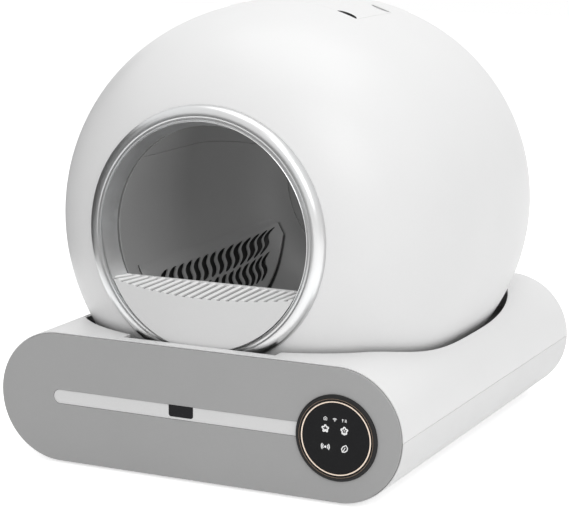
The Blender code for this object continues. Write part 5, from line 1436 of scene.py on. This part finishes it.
bezel = turned("touch_bezel", bezel_line, DISPLAY, "Y", DISPLAY_STEPS)
smooth(bezel)
done(bezel, "drawer", bezel_black(), "black_gloss", "display_bezel")
ACCENT_WIDTH = 0.0018
ACCENT_EDGE = 0.0004
ACCENT_CORNER = ACCENT_EDGE * 0.3
accent_low, accent_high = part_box("accent_ring")
accent_outer = (accent_high.x - accent_low.x) / 2
accent_inner = accent_outer - ACCENT_WIDTH
accent_line = [
    (accent_inner, accent_high.y),
    (accent_inner, accent_low.y + ACCENT_EDGE),
    (accent_inner + ACCENT_CORNER, accent_low.y + ACCENT_CORNER),
    (accent_inner + ACCENT_EDGE, accent_low.y),
    (accent_outer - ACCENT_EDGE, accent_low.y),
    (accent_outer - ACCENT_CORNER, accent_low.y + ACCENT_CORNER),
    (accent_outer, accent_low.y + ACCENT_EDGE),
    (accent_outer, accent_high.y),
]
rose_gold = metal("rose_gold", tone(0.80, 0.67, 0.56), 0.24, 1800)
accent = turned("gold_ring", accent_line, DISPLAY, "Y", DISPLAY_STEPS)
smooth(accent)
done(accent, "drawer", rose_gold, "rose_gold", "accent_ring")
glass_low, glass_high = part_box("display_glass")
glass_radius = (glass_high.x - glass_low.x) / 2
glass_line = [
    (0, glass_low.y),
    (glass_radius - FINE_EDGE, glass_low.y),
    (glass_radius, glass_low.y + FINE_EDGE),
    (glass_radius, glass_high.y),
    (0, glass_high.y),
]
black_glass = moulded("black_glass", tone(0.008, 0.008, 0.009), 0.10, 400, 0.000002, 0.15, ior=1.22)
glass = turned("touch_glass", glass_line, DISPLAY, "Y", DISPLAY_STEPS, closed=False)
smooth(glass)
done(glass, "drawer", black_glass, "display_glass", "display_glass")

ICON_LIFT = 0.00005


def lit_icon():
    """White printing on the glass, lit from behind and slightly uneven."""
    made, finish = finish_named("icon_light")
    cloud = finish.noise(700, 2)
    finish.surface({
        "Base Color": finish.blend(cloud, grey(0.55), grey(0.80)),
        "Roughness": 0.4 + 0.1 * cloud,
        "Emission Color": finish.blend(cloud, grey(0.45), grey(0.62)),
        "Emission Strength": 0.5,
        "Normal": finish.bump(cloud, 0.00001, 0.2),
    })
    return made


def stroke(points, width, closed=False):
    """A band of even width along a line of points."""
    count = len(points)
    left, right = [], []
    for i, point in enumerate(points):
        before = points[i - 1] if closed or i else point
        after = points[(i + 1) % count] if closed or i < count - 1 else point
        along = (Vector(after) - Vector(before)).normalized()
        side = Vector((-along.y, along.x)) * width / 2
        left.append(tuple(Vector(point) + side))
        right.append(tuple(Vector(point) - side))
    if not closed:
        return [left + right[::-1]]
    ends = list(zip(left, right))
    return [[one[0], two[0], two[1], one[1]] for one, two in zip(ends, ends[1:] + ends[:1])]


def scaled(outlines, size, across, up):
    """Outlines drawn about a middle, brought to their size and place on the glass."""
    return [[(across + x * size, up + z * size) for x, z in outline] for outline in outlines]


def star(inner, outer, points):
    """A star with rounded tips, as a ring of points."""
    line = []
    for i in range(points * 8):
        share = 0.5 + 0.5 * math.cos(math.tau * i / 8)
        angle = math.pi / 2 + math.tau * i / (points * 8)
        radius = inner + (outer - inner) * share
        line.append((radius * math.cos(angle), radius * math.sin(angle)))
    return line


def disc(centre, radius, steps=12):
    """A filled round dot."""
    return arc(centre, radius, 0, math.tau, steps)[:-1]


cabin = stroke([(-0.8, -0.7), (0.8, -0.7), (0.8, 0.2), (0, 0.9), (-0.8, 0.2)], 0.28, True)
cabin += stroke([(-0.4, -0.25), (0.4, -0.25)], 0.25) + stroke([(-0.4, 0.15), (0.4, 0.15)], 0.2)
signal = []
for radius in (0.55, 1.05, 1.55):
    signal += stroke(arc((0, -0.8), radius, math.radians(45), math.radians(135), 10), 0.28)
signal.append(disc((0, -0.8), 0.2))
lamp_mark = [disc((-0.8, 0.45), 0.38)] + stroke([(-0.8, 0.1), (-0.8, -0.75)], 0.28)
lamp_mark += stroke([(0.5, 0.65), (1.1, 0.65), (1.1, -0.7), (0.5, -0.7)], 0.26, True)
lamp_mark += stroke([(0.55, 0), (1.05, 0)], 0.22)
paw = stroke(star(0.55, 1.0, 5), 0.34, True) + [arc((0, -0.55), 0.42, 0, math.pi, 10)]
bloom = stroke(star(0.6, 1.0, 5), 0.36, True) + stroke(arc((0, -0.55), 0.48, math.pi, math.tau, 10), 0.3)
bloom.append(disc((0, 0.05), 0.2))
waves = [disc((0, -0.05), 0.3, 14)]
for radius in (0.68, 1.08):
    for middle in (0, math.pi):
        waves += stroke(arc((0, 0), radius, middle - math.radians(42), middle + math.radians(42), 12), 0.26)
leaf_edge = [(-0.62, -0.95), (-0.85, -0.1), (-0.45, 0.55), (0.45, 1.0)]
leaf_edge += [(0.85, 0.35), (0.75, -0.35), (0.15, -0.85)]
leaf = stroke(leaf_edge, 0.3, True) + stroke([(-0.62, -0.95), (-0.1, -0.2), (0.2, 0.35)], 0.22)

drawn = []
for outlines, size, across, up in (
    (cabin, 0.0026, 0.1783, 0.1058),
    (signal, 0.0023, 0.1904, 0.1055),
    (lamp_mark, 0.0024, 0.2024, 0.1056),
    (paw, 0.0044, 0.1782, 0.0936),
    (bloom, 0.0044, 0.2026, 0.0936),
    (waves, 0.0048, 0.1784, 0.0718),
    (leaf, 0.0044, 0.2030, 0.0719),
):
    for outline in scaled(outlines, size, across, up):
        mark = trace("icon", [(x, glass_low.y - ICON_LIFT, z) for x, z in outline])
        bpy.ops.mesh.edge_face_add()
        nothing_selected()
        drawn.append(mark)
icons = joined(drawn)
icons.name = "display_icons"
edit_all(icons)
bpy.ops.mesh.extrude_region_move(TRANSFORM_OT_translate={"value": (0, ICON_LIFT / 2, 0)})
turn_outwards()
done(icons, "drawer", lit_icon(), "display_glass")
board_green = moulded("board_green", tone(0.03, 0.16, 0.07), 0.42, 900, 0.00005, 0.2)
coat(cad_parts["control_board"], board_green)
